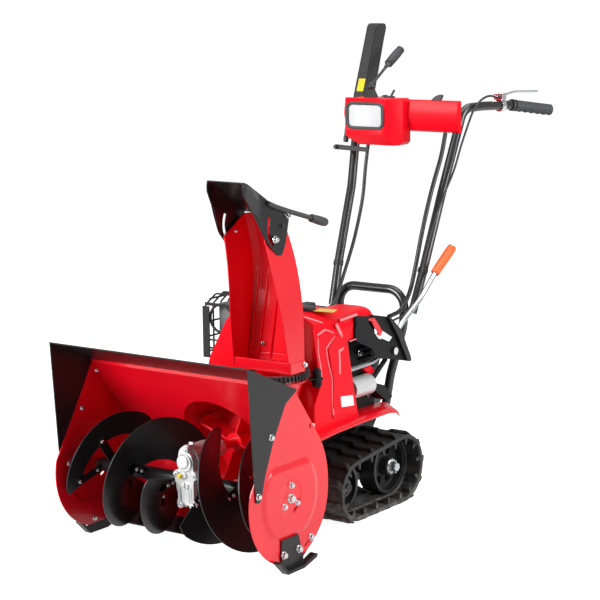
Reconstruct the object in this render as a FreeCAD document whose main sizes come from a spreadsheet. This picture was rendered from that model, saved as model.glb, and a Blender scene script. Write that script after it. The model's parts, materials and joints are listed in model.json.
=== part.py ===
import FreeCAD, Part

import math
import os

import Sketcher
from FreeCAD import Placement, Rotation, Vector

# Tracked two-stage snow blower, in millimetres.
# +X is the operator's left, the side of the height lever; -Y is forward, the way the augers
# face; +Z is up. The origin lies on the ground, under the middle of the machine.
# Most places are given behind the auger axle, as a designer measures this machine: behind(120)
# is 120 mm to the rear of that axle.

# ---------------------------------------------------------------- driving dimensions
SIZES = {
    # auger housing
    "auger_y": -586,
    "auger_z": 175,
    "housing_width": 600,
    "sheet": 3,
    "auger_radius": 145,
    "auger_clearance": 7,
    "plate_radius": 157,
    "shell_low_angle": -56,
    "edge_thickness": 5,
    "seat": 0.3,
    # augers
    "auger_shaft_radius": 11,
    "auger_tube_radius": 17,
    "ribbon_width": 60,
    "ribbon_end_angle": 235,
    "blade_inner": 24,
    "ribbon_thickness": 5,
    "auger_pitch": 205,
    "flight_setback": 22,
    "running_fit": 0.05,
    # gearbox and impeller
    "gearbox_x": 18,
    "gearbox_width": 46,
    "impeller_z": 240,
    "impeller_radius": 117,
    "drum_radius": 125,
    "drum_back": 236,
    "impeller_shaft_radius": 11,
    "blade_thickness": 5,
    # chute
    "chute_x": 125,
    "chute_behind": 172,
    "ring_z": 418,
    "ring_height": 14,
    "ring_radius": 94,
    "ring_bore": 74,
    "chute_sheet": 3,
    "moving_gap": 5,
    "chute_sweep": 104,
    "chute_half_width": 87,
    "chute_top_half_width": 52,
    # tracks
    "track_centre": 149,
    "track_width": 150,
    "axle_behind": 622,
    "axle_z": 99,
    "idler_behind": 409,
    "idler_z": 88,
    "belt_thickness": 10,
    "lug_height": 15,
    "lug_pitch": 52,
    "axle_radius": 12.5,
    "wheel_half": 26,
    "rim_thickness": 9,
    "web_half": 5,
    "hub_radius": 24,
    "hub_half": 31,
    "window_radius": 13,
    "fin_height": 12,
    "fin_start": 31,
    "fin_end": 68,
    # handles
    "tube_radius": 12.5,
    "grip_radius": 16.5,
    "grip_length": 125,
    "handle_bend": 42,
    # height lever
    "lever_x": 184,
    "lever_radius": 7,
}


class Size:
    """A length or an angle: its number, and the sheet expression that says the same."""

    def __init__(self, number, text):
        self.number = number
        self.text = text

    def join(self, other, sign, number):
        return Size(number, f"({self.text} {sign} {as_size(other).text})")

    def __add__(self, other):
        return self.join(other, "+", self.number + as_size(other).number)

    def __sub__(self, other):
        return self.join(other, "-", self.number - as_size(other).number)

    def __mul__(self, other):
        return self.join(other, "*", self.number * as_size(other).number)

    def __truediv__(self, other):
        return self.join(other, "/", self.number / as_size(other).number)

    def __radd__(self, other):
        return as_size(other) + self

    def __rsub__(self, other):
        return as_size(other) - self

    def __rmul__(self, other):
        return as_size(other) * self

    def __neg__(self):
        return self * -1

    def __float__(self):
        return float(self.number)


def as_size(value):
    return value if isinstance(value, Size) else Size(value, repr(value))


doc = FreeCAD.newDocument("SnowBlower")
sheet = doc.addObject("Spreadsheet::Sheet", "Sizes")
for row, (alias, number) in enumerate(SIZES.items(), start=1):
    sheet.set(f"A{row}", alias)
    sheet.set(f"B{row}", str(number))
    sheet.setAlias(f"B{row}", alias)
doc.recompute()
parts = []


def size(alias):
    return Size(float(SIZES[alias]), f"Sizes.{alias}")


def num(alias):
    return float(SIZES[alias])


def behind(distance):
    return size("auger_y") + distance


# ---------------------------------------------------------------- helpers
def keep(node):
    """Files this object as a sub-part under its own label."""
    parts.append(node)
    return node


def bind(item, prop, value):
    value = as_size(value)
    item.setExpression(prop, value.text)


def place(item, x=0, y=0, z=0):
    for axis, value in zip("xyz", (x, y, z)):
        bind(item, f".Placement.Base.{axis}", value)


def box(name, corner, lengths):
    item = doc.addObject("Part::Box", name)
    for prop, value in zip(("Length", "Width", "Height"), lengths):
        bind(item, prop, value)
    place(item, *corner)
    return item


TURNS = {"x": Rotation(Vector(0, 1, 0), 90), "y": Rotation(Vector(1, 0, 0), -90), "z": Rotation()}


def cylinder(name, start, radius, length, axis="z"):
    item = doc.addObject("Part::Cylinder", name)
    item.Placement = Placement(Vector(), TURNS[axis])
    bind(item, "Radius", radius)
    bind(item, "Height", length)
    place(item, *start)
    return item


def fuse(name, items):
    item = doc.addObject("Part::MultiFuse", name)
    item.Shapes = items
    item.Refine = True
    return item


def cut(name, base, tool):
    item = doc.addObject("Part::Cut", name)
    item.Base = base
    item.Tool = tool
    item.Refine = True
    return item


def mirror(name, source):
    """The same piece on the other side of the machine's middle plane."""
    item = doc.addObject("Part::Mirroring", name)
    item.Source = source
    item.Normal = (1, 0, 0)
    return item


def solid(name, shape):
    """A form that no feature makes: its Shape is worked out from the sheet here."""
    item = doc.addObject("Part::Feature", name)
    item.Shape = shape
    return item


class Via:
    """The middle point of an arc between the outline's points before and after it."""

    def __init__(self, across, up):
        self.across = across
        self.up = up


def point(pair):
    return Vector(float(as_size(pair[0]).number), float(as_size(pair[1]).number), 0)


def draw(sketch, outline):
    """Adds one closed outline of (across, up) pairs and Via points to a sketch."""
    count = len(outline)
    first = sketch.GeometryCount
    corners = []
    ends = []
    index = 0
    while index < count:
        here = outline[index]
        follow = outline[(index + 1) % count]
        corners.append(here)
        if isinstance(follow, Via):
            follow_far = outline[(index + 2) % count]
            start, middle, end = point(here), point((follow.across, follow.up)), point(follow_far)
            turn = (middle - start).cross(end - middle).z
            edge = Part.Arc(start, middle, end) if turn > 0 else Part.Arc(end, middle, start)
            ends.append((1, 2) if turn > 0 else (2, 1))
            index += 2
        else:
            edge = Part.LineSegment(point(here), point(follow))
            ends.append((1, 2))
            index += 1
        sketch.addGeometry(edge, False)
    total = len(corners)
    for step in range(total):
        after = (step + 1) % total
        joint = ("Coincident", first + step, ends[step][1], first + after, ends[after][0])
        sketch.addConstraint(Sketcher.Constraint(*joint))
        for kind, value in zip(("DistanceX", "DistanceY"), corners[step]):
            pin(sketch, kind, first + step, ends[step][0], value)


def pin(sketch, kind, edge, spot, value):
    """Holds a point of a sketch's edge at this distance from the sketch's origin."""
    value = as_size(value)
    number = sketch.addConstraint(
        Sketcher.Constraint(kind, -1, 1, edge, spot, float(value.number))
    )
    sketch.setExpression(f"Constraints[{number}]", value.text)


def body(name):
    return doc.addObject("PartDesign::Body", name)


def sketch_on(owner, name, plane, outlines, offset=0):
    planes = {item.Role: item for item in owner.Origin.OriginFeatures}
    sketch = owner.newObject("Sketcher::SketchObject", name)
    sketch.AttachmentSupport = [(planes[f"{plane}_Plane"], "")]
    sketch.MapMode = "FlatFace"
    bind(sketch, ".AttachmentOffset.Base.z", offset)
    for outline in outlines:
        draw(sketch, outline)
    return sketch


def ring(sketch, across, up, radius):
    """Adds a full circle to a sketch."""
    radius = as_size(radius)
    circle = Part.Circle(point((across, up)), Vector(0, 0, 1), float(radius))
    edge = sketch.addGeometry(circle, False)
    pin(sketch, "DistanceX", edge, 3, across)
    pin(sketch, "DistanceY", edge, 3, up)
    number = sketch.addConstraint(Sketcher.Constraint("Radius", edge, float(radius)))
    sketch.setExpression(f"Constraints[{number}]", radius.text)


def pad(owner, sketch, length, symmetric=False, back=False):
    feature = owner.newObject("PartDesign::Pad", sketch.Name + "_pad")
    feature.Profile = sketch
    bind(feature, "Length", length)
    feature.Midplane = symmetric
    feature.Reversed = back
    return feature


def pocket(owner, sketch, length, symmetric=False, back=False):
    doc.recompute()
    before = owner.Shape.Volume
    feature = owner.newObject("PartDesign::Pocket", sketch.Name + "_pocket")
    feature.Profile = sketch
    bind(feature, "Length", length)
    feature.Midplane = symmetric
    feature.Reversed = back
    doc.recompute()
    assert owner.Shape.Volume < before, f"{sketch.Name} cuts nothing"
    return feature


def slab(name, plane, outline, length, offset=0, symmetric=False, back=False):
    """A body made of one outline, padded straight."""
    owner = body(name)
    pad(owner, sketch_on(owner, name + "_outline", plane, [outline], offset), length, symmetric, back)
    return owner


def route(points, radii):
    """A wire through the points, straight runs joined by tangent arcs of the given radii."""
    points = [Vector(*[float(as_size(value).number) for value in item]) for item in points]
    edges = []
    start = points[0]
    for index, radius in zip(range(1, len(points) - 1), radii):
        corner = points[index]
        inward = (points[index - 1] - corner).normalize()
        outward = (points[index + 1] - corner).normalize()
        half = inward.getAngle(outward) / 2
        reach = radius / math.tan(half)
        near = corner + inward * reach
        far = corner + outward * reach
        centre = corner + (inward + outward).normalize() * (radius / math.sin(half))
        middle = centre + (corner - centre).normalize() * radius
        edges.append(Part.LineSegment(start, near).toShape())
        edges.append(Part.Arc(near, middle, far).toShape())
        start = far
    edges.append(Part.LineSegment(start, points[-1]).toShape())
    return Part.Wire(edges)


def swept(points, radii, radius):
    """A round bar along a route."""
    path = route(points, radii)
    start = path.Edges[0].valueAt(path.Edges[0].FirstParameter)
    heading = path.Edges[0].tangentAt(path.Edges[0].FirstParameter)
    section = Part.Wire(Part.Circle(start, heading, float(radius)).toShape())
    return path.makePipeShell([section], True, False)


def tube(name, points, radii, radius):
    return solid(name, swept(points, radii, radius))


# ---------------------------------------------------------------- auger housing
half_width = size("housing_width") / 2
axle_y = size("auger_y")
axle_z = size("auger_z")
shell_inner = size("auger_radius") + size("auger_clearance")
shell_outer = shell_inner + size("sheet")


def around_auger(radius, degrees):
    """A point on a circle about the auger axle, in the side view."""
    turn = math.radians(degrees)
    return (axle_y + radius * math.cos(turn), axle_z + radius * math.sin(turn))


LIP_FRONT = (-159, 513)
LIP_REAR = (31, 431)
MOUTH_TOP = (-16, 439)


def lip_height(distance):
    """Height of the lip's top face above a place behind the auger axle."""
    slope = (LIP_REAR[1] - LIP_FRONT[1]) / (LIP_REAR[0] - LIP_FRONT[0])
    return LIP_FRONT[1] + slope * (distance - LIP_FRONT[0])


def tangent_angle(radius):
    """Where the slanted panel from the mouth's top edge meets the round back, in degrees."""
    across = MOUTH_TOP[0]
    up = MOUTH_TOP[1] - num("auger_z")
    far = math.hypot(across, up)
    return math.degrees(math.atan2(up, across) - math.acos(radius / far))


def build_shell():
    """Back and top sheet between the side plates, round behind the augers."""
    inner = float(shell_inner)
    outer = float(shell_outer)
    top_angle = tangent_angle(inner)
    low = num("shell_low_angle")
    middle = (top_angle + low) / 2
    sheet_up = num("sheet") * math.sin(math.radians(top_angle))
    sheet_back = num("sheet") * math.cos(math.radians(top_angle))
    flange_front = lip_height(MOUTH_TOP[0]) - 3.5
    flange_rear = lip_height(24) - 3.5
    outline = [
        (behind(MOUTH_TOP[0]), MOUTH_TOP[1]),
        around_auger(shell_inner, top_angle),
        Via(*around_auger(shell_inner, middle)),
        around_auger(shell_inner, low),
        around_auger(shell_outer, low),
        Via(*around_auger(shell_outer, middle)),
        around_auger(shell_outer, top_angle),
        (behind(MOUTH_TOP[0] + sheet_back), MOUTH_TOP[1] + sheet_up),
        (behind(MOUTH_TOP[0] + 3.5), flange_front - 5),
        (behind(24), flange_rear - 3),
        (behind(24), flange_rear),
        (behind(MOUTH_TOP[0]), flange_front),
    ]
    shell = slab(
        "housing_shell", "YZ", outline, size("housing_width") - size("sheet") * 2, symmetric=True
    )
    mouth = sketch_on(shell, "drum_opening", "XZ", [], -behind(-20))
    ring(mouth, size("gearbox_x"), size("impeller_z"), size("drum_radius"))
    pocket(shell, mouth, 220)
    return shell


housing_shell = keep(build_shell())

PLATE_FRONT_ANGLE = 165
PLATE_REAR = (124, 297)
PLATE_TIP = (29, 424)


def plate_outline():
    radius = size("plate_radius")
    return [
        (behind(PLATE_TIP[0]), PLATE_TIP[1]),
        (behind(MOUTH_TOP[0]), MOUTH_TOP[1] - 2),
        Via(behind(-84), 322),
        around_auger(radius, PLATE_FRONT_ANGLE),
        Via(*around_auger(radius, 225)),
        (behind(-48), 25),
        (behind(48), 25),
        Via(*around_auger(radius, -36)),
        around_auger(radius, 0),
        Via(behind(150), 240),
        (behind(PLATE_REAR[0]), PLATE_REAR[1]),
    ]


DISH = [(-92, 96), (-92, 215), (-60, 262), (60, 262), (96, 215), (96, 96)]


def build_plate():
    """Side plate with its pressed dish, which stands 3 mm proud, and the auger's bearing."""
    plate = body("side_plate_left")
    inside = half_width - size("sheet")
    pad(plate, sketch_on(plate, "plate_outline", "YZ", [plate_outline()], inside), size("sheet"))
    dish = [(behind(across), up) for across, up in DISH]
    pad(plate, sketch_on(plate, "dish_outline", "YZ", [dish], half_width), size("sheet"))
    hollow = [(behind(across * 0.96), up + (179 - up) * 0.04) for across, up in DISH]
    pocket(
        plate,
        sketch_on(plate, "dish_hollow", "YZ", [hollow], inside),
        size("sheet"),
        back=True,
    )
    hub = sketch_on(plate, "bearing_outline", "YZ", [], inside - 8)
    ring(hub, axle_y, axle_z, 30)
    pad(plate, hub, 14)
    bore = sketch_on(plate, "bearing_bore", "YZ", [], inside - 9)
    ring(bore, axle_y, axle_z, size("auger_shaft_radius") + size("running_fit"))
    pocket(plate, bore, 12, back=True)
    return plate


side_plate_left = keep(build_plate())
side_plate_right = keep(mirror("side_plate_right", side_plate_left))


def build_wing():
    """Flat black guard outside each side plate, which carries the lip."""
    outline = [
        (behind(LIP_FRONT[0]), LIP_FRONT[1]),
        (behind(LIP_REAR[0]), LIP_REAR[1]),
        (behind(-17), 405),
        (behind(-67), 323),
        (behind(-100), 248),
        (behind(-113), 205),
        Via(behind(-122), 194),
        (behind(-136), 196),
    ]
    return slab("wing_left", "YZ", outline, size("sheet"), half_width)


wing_left = keep(build_wing())
wing_right = keep(mirror("wing_right", wing_left))


def build_lip():
    """Sheet across the top of the mouth, from wing to wing."""
    drop = num("sheet") / math.cos(math.atan2(82, 190))
    outline = [
        (behind(LIP_FRONT[0]), LIP_FRONT[1]),
        (behind(LIP_REAR[0]), LIP_REAR[1]),
        (behind(LIP_REAR[0]), LIP_REAR[1] - drop),
        (behind(LIP_FRONT[0]), LIP_FRONT[1] - drop),
    ]
    return slab("top_lip", "YZ", outline, size("housing_width"), symmetric=True)


top_lip = keep(build_lip())


def build_cutting_edge():
    """Wear strip bolted under the foot of the shell, along its tangent."""
    turn = math.radians(num("shell_low_angle"))
    outer = float(shell_outer)
    foot = (outer * math.cos(turn), num("auger_z") + outer * math.sin(turn))

    def spot(up_slope, off):
        across = foot[0] - up_slope * math.sin(turn) + off * math.cos(turn)
        up = foot[1] + up_slope * math.cos(turn) + off * math.sin(turn)
        return (behind(across), up)

    thick = num("edge_thickness") + num("seat")
    outline = [spot(20, num("seat")), spot(-50, num("seat")), spot(-50, thick), spot(20, thick)]
    return slab(
        "cutting_edge", "YZ", outline, size("housing_width") - size("sheet") * 2, symmetric=True
    )


cutting_edge = keep(build_cutting_edge())


def build_skid():
    """Bolted skid shoe with its runner turned outward."""
    shoe = body("skid_shoe_left")
    upright = [(behind(-42), 22), (behind(-40), 82), (behind(28), 82), (behind(46), 22)]
    pad(shoe, sketch_on(shoe, "shoe_upright", "YZ", [upright], half_width), 4)
    runner = [
        (behind(-70), 34),
        (behind(-34), 0),
        (behind(32), 0),
        (behind(84), 14),
        (behind(86), 22),
        (behind(80), 24),
        (behind(34), 8),
        (behind(-32), 8),
        (behind(-64), 38),
    ]
    pad(shoe, sketch_on(shoe, "shoe_runner", "YZ", [runner], half_width), 18)
    web = [(behind(-42), 7), (behind(-42), 24), (behind(46), 24), (behind(46), 10), (behind(34), 7)]
    pad(shoe, sketch_on(shoe, "shoe_web", "YZ", [web], half_width), 4)
    return shoe


skid_shoe_left = keep(build_skid())
skid_shoe_right = keep(mirror("skid_shoe_right", skid_shoe_left))

# ---------------------------------------------------------------- augers
auger_inner_end = size("gearbox_width") / 2 + 5


FLIGHT_STEP = 60


def flight(low, high, inner_radius, outer_radius, left):
    """A helical plate about the Z axis, between two heights, built from short lengths in a row."""
    pitch = num("auger_pitch")
    count = max(2, math.ceil((high - low) / FLIGHT_STEP))
    step = (high - low) / count
    turn = -360 if left else 360
    plates = []
    for index in range(count):
        inside_edge = Part.makeHelix(pitch, step, inner_radius, 0, left).Edges[0]
        outside_edge = Part.makeHelix(pitch, step, outer_radius, 0, left).Edges[0]
        plate = Part.makeRuledSurface(inside_edge, outside_edge)
        plate = plate.extrude(Vector(0, 0, num("ribbon_thickness")))
        height = low + step * index
        plate.rotate(Vector(), Vector(0, 0, 1), turn * height / pitch)
        plate.translate(Vector(0, 0, height))
        plates.append(plate)
    return plates[0].fuse(plates[1:])


SPOKE_SHARES = (0.02, 0.5, 0.98)
BLADE_SHARES = (0.08, 0.45)
SPOKE_WIDTH = 26


def build_auger(name, inner, outer, hand):
    """One screw: tube on the axle, open ribbon on spokes, and a broad blade that fills it inside."""
    radius = num("auger_radius")
    thick = num("ribbon_thickness")
    setback = num("flight_setback")
    length = abs(outer - inner)
    pitch = num("auger_pitch")
    left = hand < 0
    turn = 360 * hand
    rise = length - setback - thick - 4
    ribbon_inner = radius - num("ribbon_width")
    pieces = [flight(0, rise, ribbon_inner, radius, left)]
    for share in SPOKE_SHARES:
        height = rise * share
        spoke = Part.makeBox(ribbon_inner + 12, SPOKE_WIDTH, thick)
        spoke.translate(Vector(4, -SPOKE_WIDTH / 2, height))
        spoke.rotate(Vector(), Vector(0, 0, 1), turn * height / pitch)
        pieces.append(spoke)
    tube = Part.makeCylinder(num("auger_tube_radius"), length - 2, Vector(0, 0, -setback))
    bore_radius = num("auger_shaft_radius") + num("seat")
    bore = Part.makeCylinder(bore_radius, length + 60, Vector(0, 0, -40))
    screw = tube.fuse(pieces).cut(bore)
    low, high = [rise * share for share in BLADE_SHARES]
    blade = flight(low, high, num("blade_inner"), ribbon_inner - num("seat"), left)
    shape = Part.Compound([screw.Solids[0], blade])
    phase = num("ribbon_end_angle") + 90 - 360 * rise / pitch
    shape.rotate(Vector(), Vector(0, 0, 1), hand * phase)
    if left:
        shape.rotate(Vector(), Vector(1, 0, -1), 180)
    else:
        shape.rotate(Vector(), Vector(0, 1, 0), 90)
    start = inner + hand * (setback + 1)
    shape.translate(Vector(start, num("auger_y"), num("auger_z")))
    return solid(name, shape)


gap_to_plate = 12
left_inner = num("gearbox_x") + float(auger_inner_end)
right_inner = num("gearbox_x") - float(auger_inner_end)
outer_end = float(half_width) - gap_to_plate
auger_left = keep(build_auger("auger_left", left_inner, outer_end, 1))
auger_right = keep(build_auger("auger_right", right_inner, -outer_end, -1))
auger_shaft = keep(
    cylinder(
        "auger_shaft",
        (-half_width + 2, axle_y, axle_z),
        size("auger_shaft_radius"),
        size("housing_width") - 4,
        "x",
    )
)

# ---------------------------------------------------------------- gearbox
gear_x = size("gearbox_x")
impeller_z = size("impeller_z")


GEAR_COVER = [
    (-26, 120),
    (-14, 120),
    (-10, 127),
    (16, 127),
    (20, 119),
    (33, 119),
    (33, 133),
    (24, 142),
    (24, 182),
    (26, 192),
    (36, 197),
    (36, 209),
    (25, 214),
    (23, 222),
    (24, 238),
    (18, 252),
    (10, 259),
    (9, 276),
    (-3, 276),
    (-4, 262),
    (-14, 255),
    (-22, 242),
    (-23, 225),
    (-21, 214),
    (-32, 211),
    (-34, 200),
    (-32, 182),
    (-24, 176),
    (-24, 142),
    (-28, 133),
]
COVER_SHIFT = 8


def cover_plate(front, back, grow):
    """A slice of the gearbox's front cover, between two distances from the axle."""
    middle = (num("gearbox_x") + COVER_SHIFT, 197)
    y = num("auger_y")
    points = []
    for across, up in GEAR_COVER:
        x = middle[0] + across * (1 + grow)
        z = middle[1] + (up - middle[1]) * (1 + grow)
        points.append(Vector(x, y + front, z))
    return Part.Face(Part.makePolygon(points + [points[0]])).extrude(Vector(0, back - front, 0))


def build_gearbox():
    """Cast gearbox: a front cover with bolt ears, its flange, the case and the drive sleeve."""
    half = num("gearbox_width") / 2
    x = num("gearbox_x")
    y = num("auger_y")
    axle = num("auger_z")
    drive = num("impeller_z")
    along = Vector(0, 1, 0)
    across = Vector(1, 0, 0)
    cover_x = x + COVER_SHIFT
    pieces = [
        cover_plate(-50, -30, 0),
        cover_plate(-30, -24, 0.05),
        Part.makeCone(23, 21, 6, Vector(cover_x, y - 50, 233), -along),
        Part.makeCone(9, 7, 5, Vector(cover_x - 2, y - 50, 202), -along),
        Part.makeCone(8, 6, 4, Vector(cover_x + 4, y - 50, 176), -along),
        Part.makeCylinder(30, 70, Vector(x, y - 30, drive), along),
        Part.makeCylinder(48, half * 2, Vector(x - half, y, axle), across),
        Part.makeBox(half * 2, 72, drive - axle, Vector(x - half, y - 24, axle)),
        Part.makeCylinder(20, 60, Vector(x, y + 36, drive), along),
    ]
    whole = pieces[0].fuse(pieces[1:])
    fit = num("running_fit")
    axle_bore = Part.makeCylinder(
        num("auger_shaft_radius") + fit, half * 4, Vector(x - half * 2, y, axle), across
    )
    drive_bore = Part.makeCylinder(
        num("impeller_shaft_radius") + fit, 120, Vector(x, y, drive), along
    )
    return solid("gearbox", whole.cut([axle_bore, drive_bore]).removeSplitter())


gearbox = keep(build_gearbox())

# ---------------------------------------------------------------- impeller and its drum
drum_back = size("drum_back")


def build_impeller():
    """Four-bladed fan on the shaft that also drives the augers' gearbox."""
    pieces = []
    front = 153
    rear = num("drum_back") - 10
    thick = num("blade_thickness")
    hub = Part.makeCylinder(24, rear - front, Vector(0, front, 0), Vector(0, 1, 0))
    shaft = Part.makeCylinder(
        num("impeller_shaft_radius"), num("drum_back") + 30, Vector(0, 6, 0), Vector(0, 1, 0)
    )
    disc = Part.makeCylinder(70, 4, Vector(0, rear - 4, 0), Vector(0, 1, 0))
    pieces += [shaft, disc]
    for quarter in range(4):
        blade = Part.makeBox(num("impeller_radius") - 18, rear - front, thick)
        blade.translate(Vector(18, front, 0))
        tip = Part.makeBox(thick, rear - front, 22)
        tip.translate(Vector(num("impeller_radius") - thick - 4, front, -22 + thick))
        blade = blade.fuse(tip)
        blade.rotate(Vector(), Vector(0, 1, 0), 90 * quarter + 20)
        pieces.append(blade)
    shape = hub.fuse(pieces)
    shape.translate(Vector(num("gearbox_x"), num("auger_y"), num("impeller_z")))
    return solid("impeller", shape)


impeller = keep(build_impeller())


def front_block():
    """All the room in front of the shell's outer face, to trim what joins it from behind."""
    top_angle = tangent_angle(float(shell_outer))
    outline = [(-300, 25), (-300, 500), (MOUTH_TOP[0] + 3, 500), (MOUTH_TOP[0] + 3, MOUTH_TOP[1])]
    radius = float(shell_outer) + num("seat")
    turn = math.radians(top_angle)
    margin = num("seat") * 2
    corner = outline[3]
    outline[3] = (corner[0] + margin * math.cos(turn), corner[1] + margin * math.sin(turn))
    start = (radius * math.cos(turn), num("auger_z") + radius * math.sin(turn))
    low = math.radians(-50)
    end = (radius * math.cos(low), num("auger_z") + radius * math.sin(low))
    edges = []
    points = outline + [start]
    vectors = [Vector(-400, across + num("auger_y"), up) for across, up in points]
    for one, two in zip(vectors, vectors[1:]):
        edges.append(Part.LineSegment(one, two).toShape())
    last = Vector(-400, end[0] + num("auger_y"), end[1])
    middle = Vector(-400, radius + num("auger_y"), num("auger_z"))
    edges.append(Part.Arc(vectors[-1], middle, last).toShape())
    edges.append(Part.LineSegment(last, vectors[0]).toShape())
    return Part.Face(Part.Wire(edges)).extrude(Vector(800, 0, 0))


def circle_wire(x, y, z, radius):
    return Part.Wire(Part.Circle(Vector(x, y, z), Vector(0, 0, 1), radius).toShape())


def build_drum():
    """Round impeller drum behind the shell, with the duct that rises from its side to the chute."""
    wall = num("sheet")
    radius = num("drum_radius")
    centre = Vector(num("gearbox_x"), num("auger_y") + 10, num("impeller_z"))
    depth = num("drum_back") - 10
    along = Vector(0, 1, 0)
    outer = Part.makeCylinder(radius + wall, depth + wall, centre, along)
    inner = Part.makeCylinder(radius, depth, centre, along)
    duct_y = num("auger_y") + num("chute_behind")
    low = (num("gearbox_x") + 62, num("impeller_z") + 12)
    top_z = num("ring_z") - 0.3
    duct_outer = Part.makeLoft(
        [
            circle_wire(low[0], duct_y, low[1], 59 + wall),
            circle_wire(num("chute_x"), duct_y, top_z - 16, num("ring_bore") + wall),
        ],
        True,
    )
    duct_inner = Part.makeLoft(
        [
            circle_wire(low[0], duct_y, low[1] - 0.01, 59),
            circle_wire(num("chute_x"), duct_y, top_z - 15.99, num("ring_bore")),
        ],
        True,
    )
    collar_at = Vector(num("chute_x"), duct_y, top_z - 16)
    collar = Part.makeCylinder(num("ring_bore") + wall, 16, collar_at)
    flange = Part.makeCylinder(num("ring_radius") - 4, 3, collar_at + Vector(0, 0, 8))
    collar_bore = Part.makeCylinder(num("ring_bore"), 20, collar_at)
    whole = outer.fuse([duct_outer, collar, flange])
    whole = whole.cut(inner.fuse([duct_inner, collar_bore]))
    whole = whole.cut(front_block())
    shaft = Part.makeCylinder(
        num("impeller_shaft_radius") + num("running_fit"), 60, centre + Vector(0, 200, 0), along
    )
    whole = whole.cut(shaft)
    return solid("impeller_drum", whole.removeSplitter())


impeller_drum = keep(build_drum())

# ---------------------------------------------------------------- chute
chute_x = size("chute_x")
chute_y = behind(size("chute_behind"))


RING_TEETH = 54
TOOTH_DEPTH = 5


def build_chute_ring():
    """Toothed ring that the chute turns with."""
    outer = num("ring_radius")
    root = outer - TOOTH_DEPTH
    points = []
    for tooth in range(RING_TEETH):
        for share, radius in ((-0.25, root), (-0.14, outer), (0.14, outer), (0.25, root)):
            turn = 2 * math.pi * (tooth + share) / RING_TEETH
            points.append(Vector(radius * math.cos(turn), radius * math.sin(turn), 0))
    rim = Part.Face(Part.makePolygon(points + [points[0]])).extrude(Vector(0, 0, num("ring_height")))
    flange = Part.makeCylinder(root - 2, 3, Vector(0, 0, num("ring_height") - 3))
    hole = Part.makeCylinder(num("ring_bore"), num("ring_height") + 2, Vector(0, 0, -1))
    shape = rim.fuse(flange).cut(hole)
    shape.translate(Vector(num("chute_x"), float(chute_y), num("ring_z")))
    return solid("chute_ring", shape)


chute_ring = keep(build_chute_ring())


def build_chute_drive():
    """Bracket on the duct's flange with the small gear case and the motor that turn the ring."""
    flange_z = num("ring_z") - num("seat") - 8
    reach = num("ring_radius") + num("moving_gap")
    middle = reach + 12
    low = flange_z - num("seat")
    inner_end = num("ring_bore") + num("sheet") + num("seat")
    arm = Part.makeBox(middle + 16 - inner_end, 30, 4, Vector(inner_end, -15, low - 4))
    case = Part.makeCylinder(11, 20, Vector(middle, 0, low))
    cap = Part.makeCone(11, 6, 4, Vector(middle, 0, low + 20))
    motor = Part.makeCylinder(13, 46, Vector(middle, 0, low - 46))
    plug = Part.makeBox(12, 16, 12, Vector(middle + 8, -8, low - 18))
    shape = arm.fuse([case, cap, motor, plug])
    shape.rotate(Vector(), Vector(0, 0, 1), 43)
    shape.translate(Vector(num("chute_x"), float(chute_y), 0))
    return solid("chute_drive", shape)


chute_drive = keep(build_chute_drive())


HINGE = (128, 798)
HINGE_PIN = 5
HINGE_HALF = 72


def chute_section(half, front, corner, back, height, grow=0.0):
    """Plan outline of the chute: open-fronted, with straight sides and a faceted back."""
    x = num("chute_x")
    y = num("auger_y")
    half = half + grow
    low = front
    return [
        Vector(x - half, y + low, height),
        Vector(x - half, y + corner, height),
        Vector(x - half * 0.75, y + corner + (back - corner) * 0.7, height),
        Vector(x - half * 0.36, y + back + grow, height),
        Vector(x + half * 0.36, y + back + grow, height),
        Vector(x + half * 0.75, y + corner + (back - corner) * 0.7, height),
        Vector(x + half, y + corner, height),
        Vector(x + half, y + low, height),
    ]


CHUTE_LEVELS = [
    # height, half width, front edge, end of the straight side, back
    (441, 87, 133, 186, 214),
    (565, 83, 122, 182, 210),
    (690, 62, 92, 164, 192),
    (822, 50, 42, 126, 146),
]


def chute_solid(grow):
    wires = []
    for height, half, front, corner, back in CHUTE_LEVELS:
        points = chute_section(half, front, corner, back, height, grow)
        wires.append(Part.makePolygon(points + [points[0]]))
    return Part.makeLoft(wires, True, True)


def build_chute():
    """Tall open-fronted spout with creased back, on its closed base band."""
    wall = num("chute_sheet")
    outer = chute_solid(0.0)
    inner_wires = []
    for height, half, front, corner, back in CHUTE_LEVELS:
        points = chute_section(half - wall, front - 30, corner, back - wall, height)
        inner_wires.append(Part.makePolygon(points + [points[0]]))
    inner = Part.makeLoft(inner_wires, True, True)
    walls = outer.cut(inner)
    base_z = num("ring_z") + num("ring_height")
    height, half, front, corner, back = CHUTE_LEVELS[0]
    band = chute_section(half + 1.5, front - 3, corner, back + 1.5, base_z)
    face = Part.Face(Part.makePolygon(band + [band[0]]))
    hole = chute_section(half - wall, front, corner, back - wall, base_z)
    opening = Part.Face(Part.makePolygon(hole + [hole[0]]))
    band_solid = face.extrude(Vector(0, 0, 473 - base_z)).cut(opening.extrude(Vector(0, 0, 60)))
    slope = Part.makeBox(300, 300, 120)
    slope.translate(Vector(-150, 0, 0))
    slope.rotate(Vector(), Vector(1, 0, 0), 27)
    slope.translate(Vector(num("chute_x"), num("auger_y") + 42, 762))
    walls = walls.cut(slope)
    pins = []
    for side in (-1, 1):
        reach = num("chute_x") + side * (HINGE_HALF if side < 0 else 46)
        spot = Vector(reach, num("auger_y") + HINGE[0], HINGE[1])
        pins.append(Part.makeCylinder(HINGE_PIN, HINGE_HALF - 46, spot, Vector(1, 0, 0)))
    return solid("chute", walls.fuse([band_solid] + pins).removeSplitter())


chute = keep(build_chute())

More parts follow.
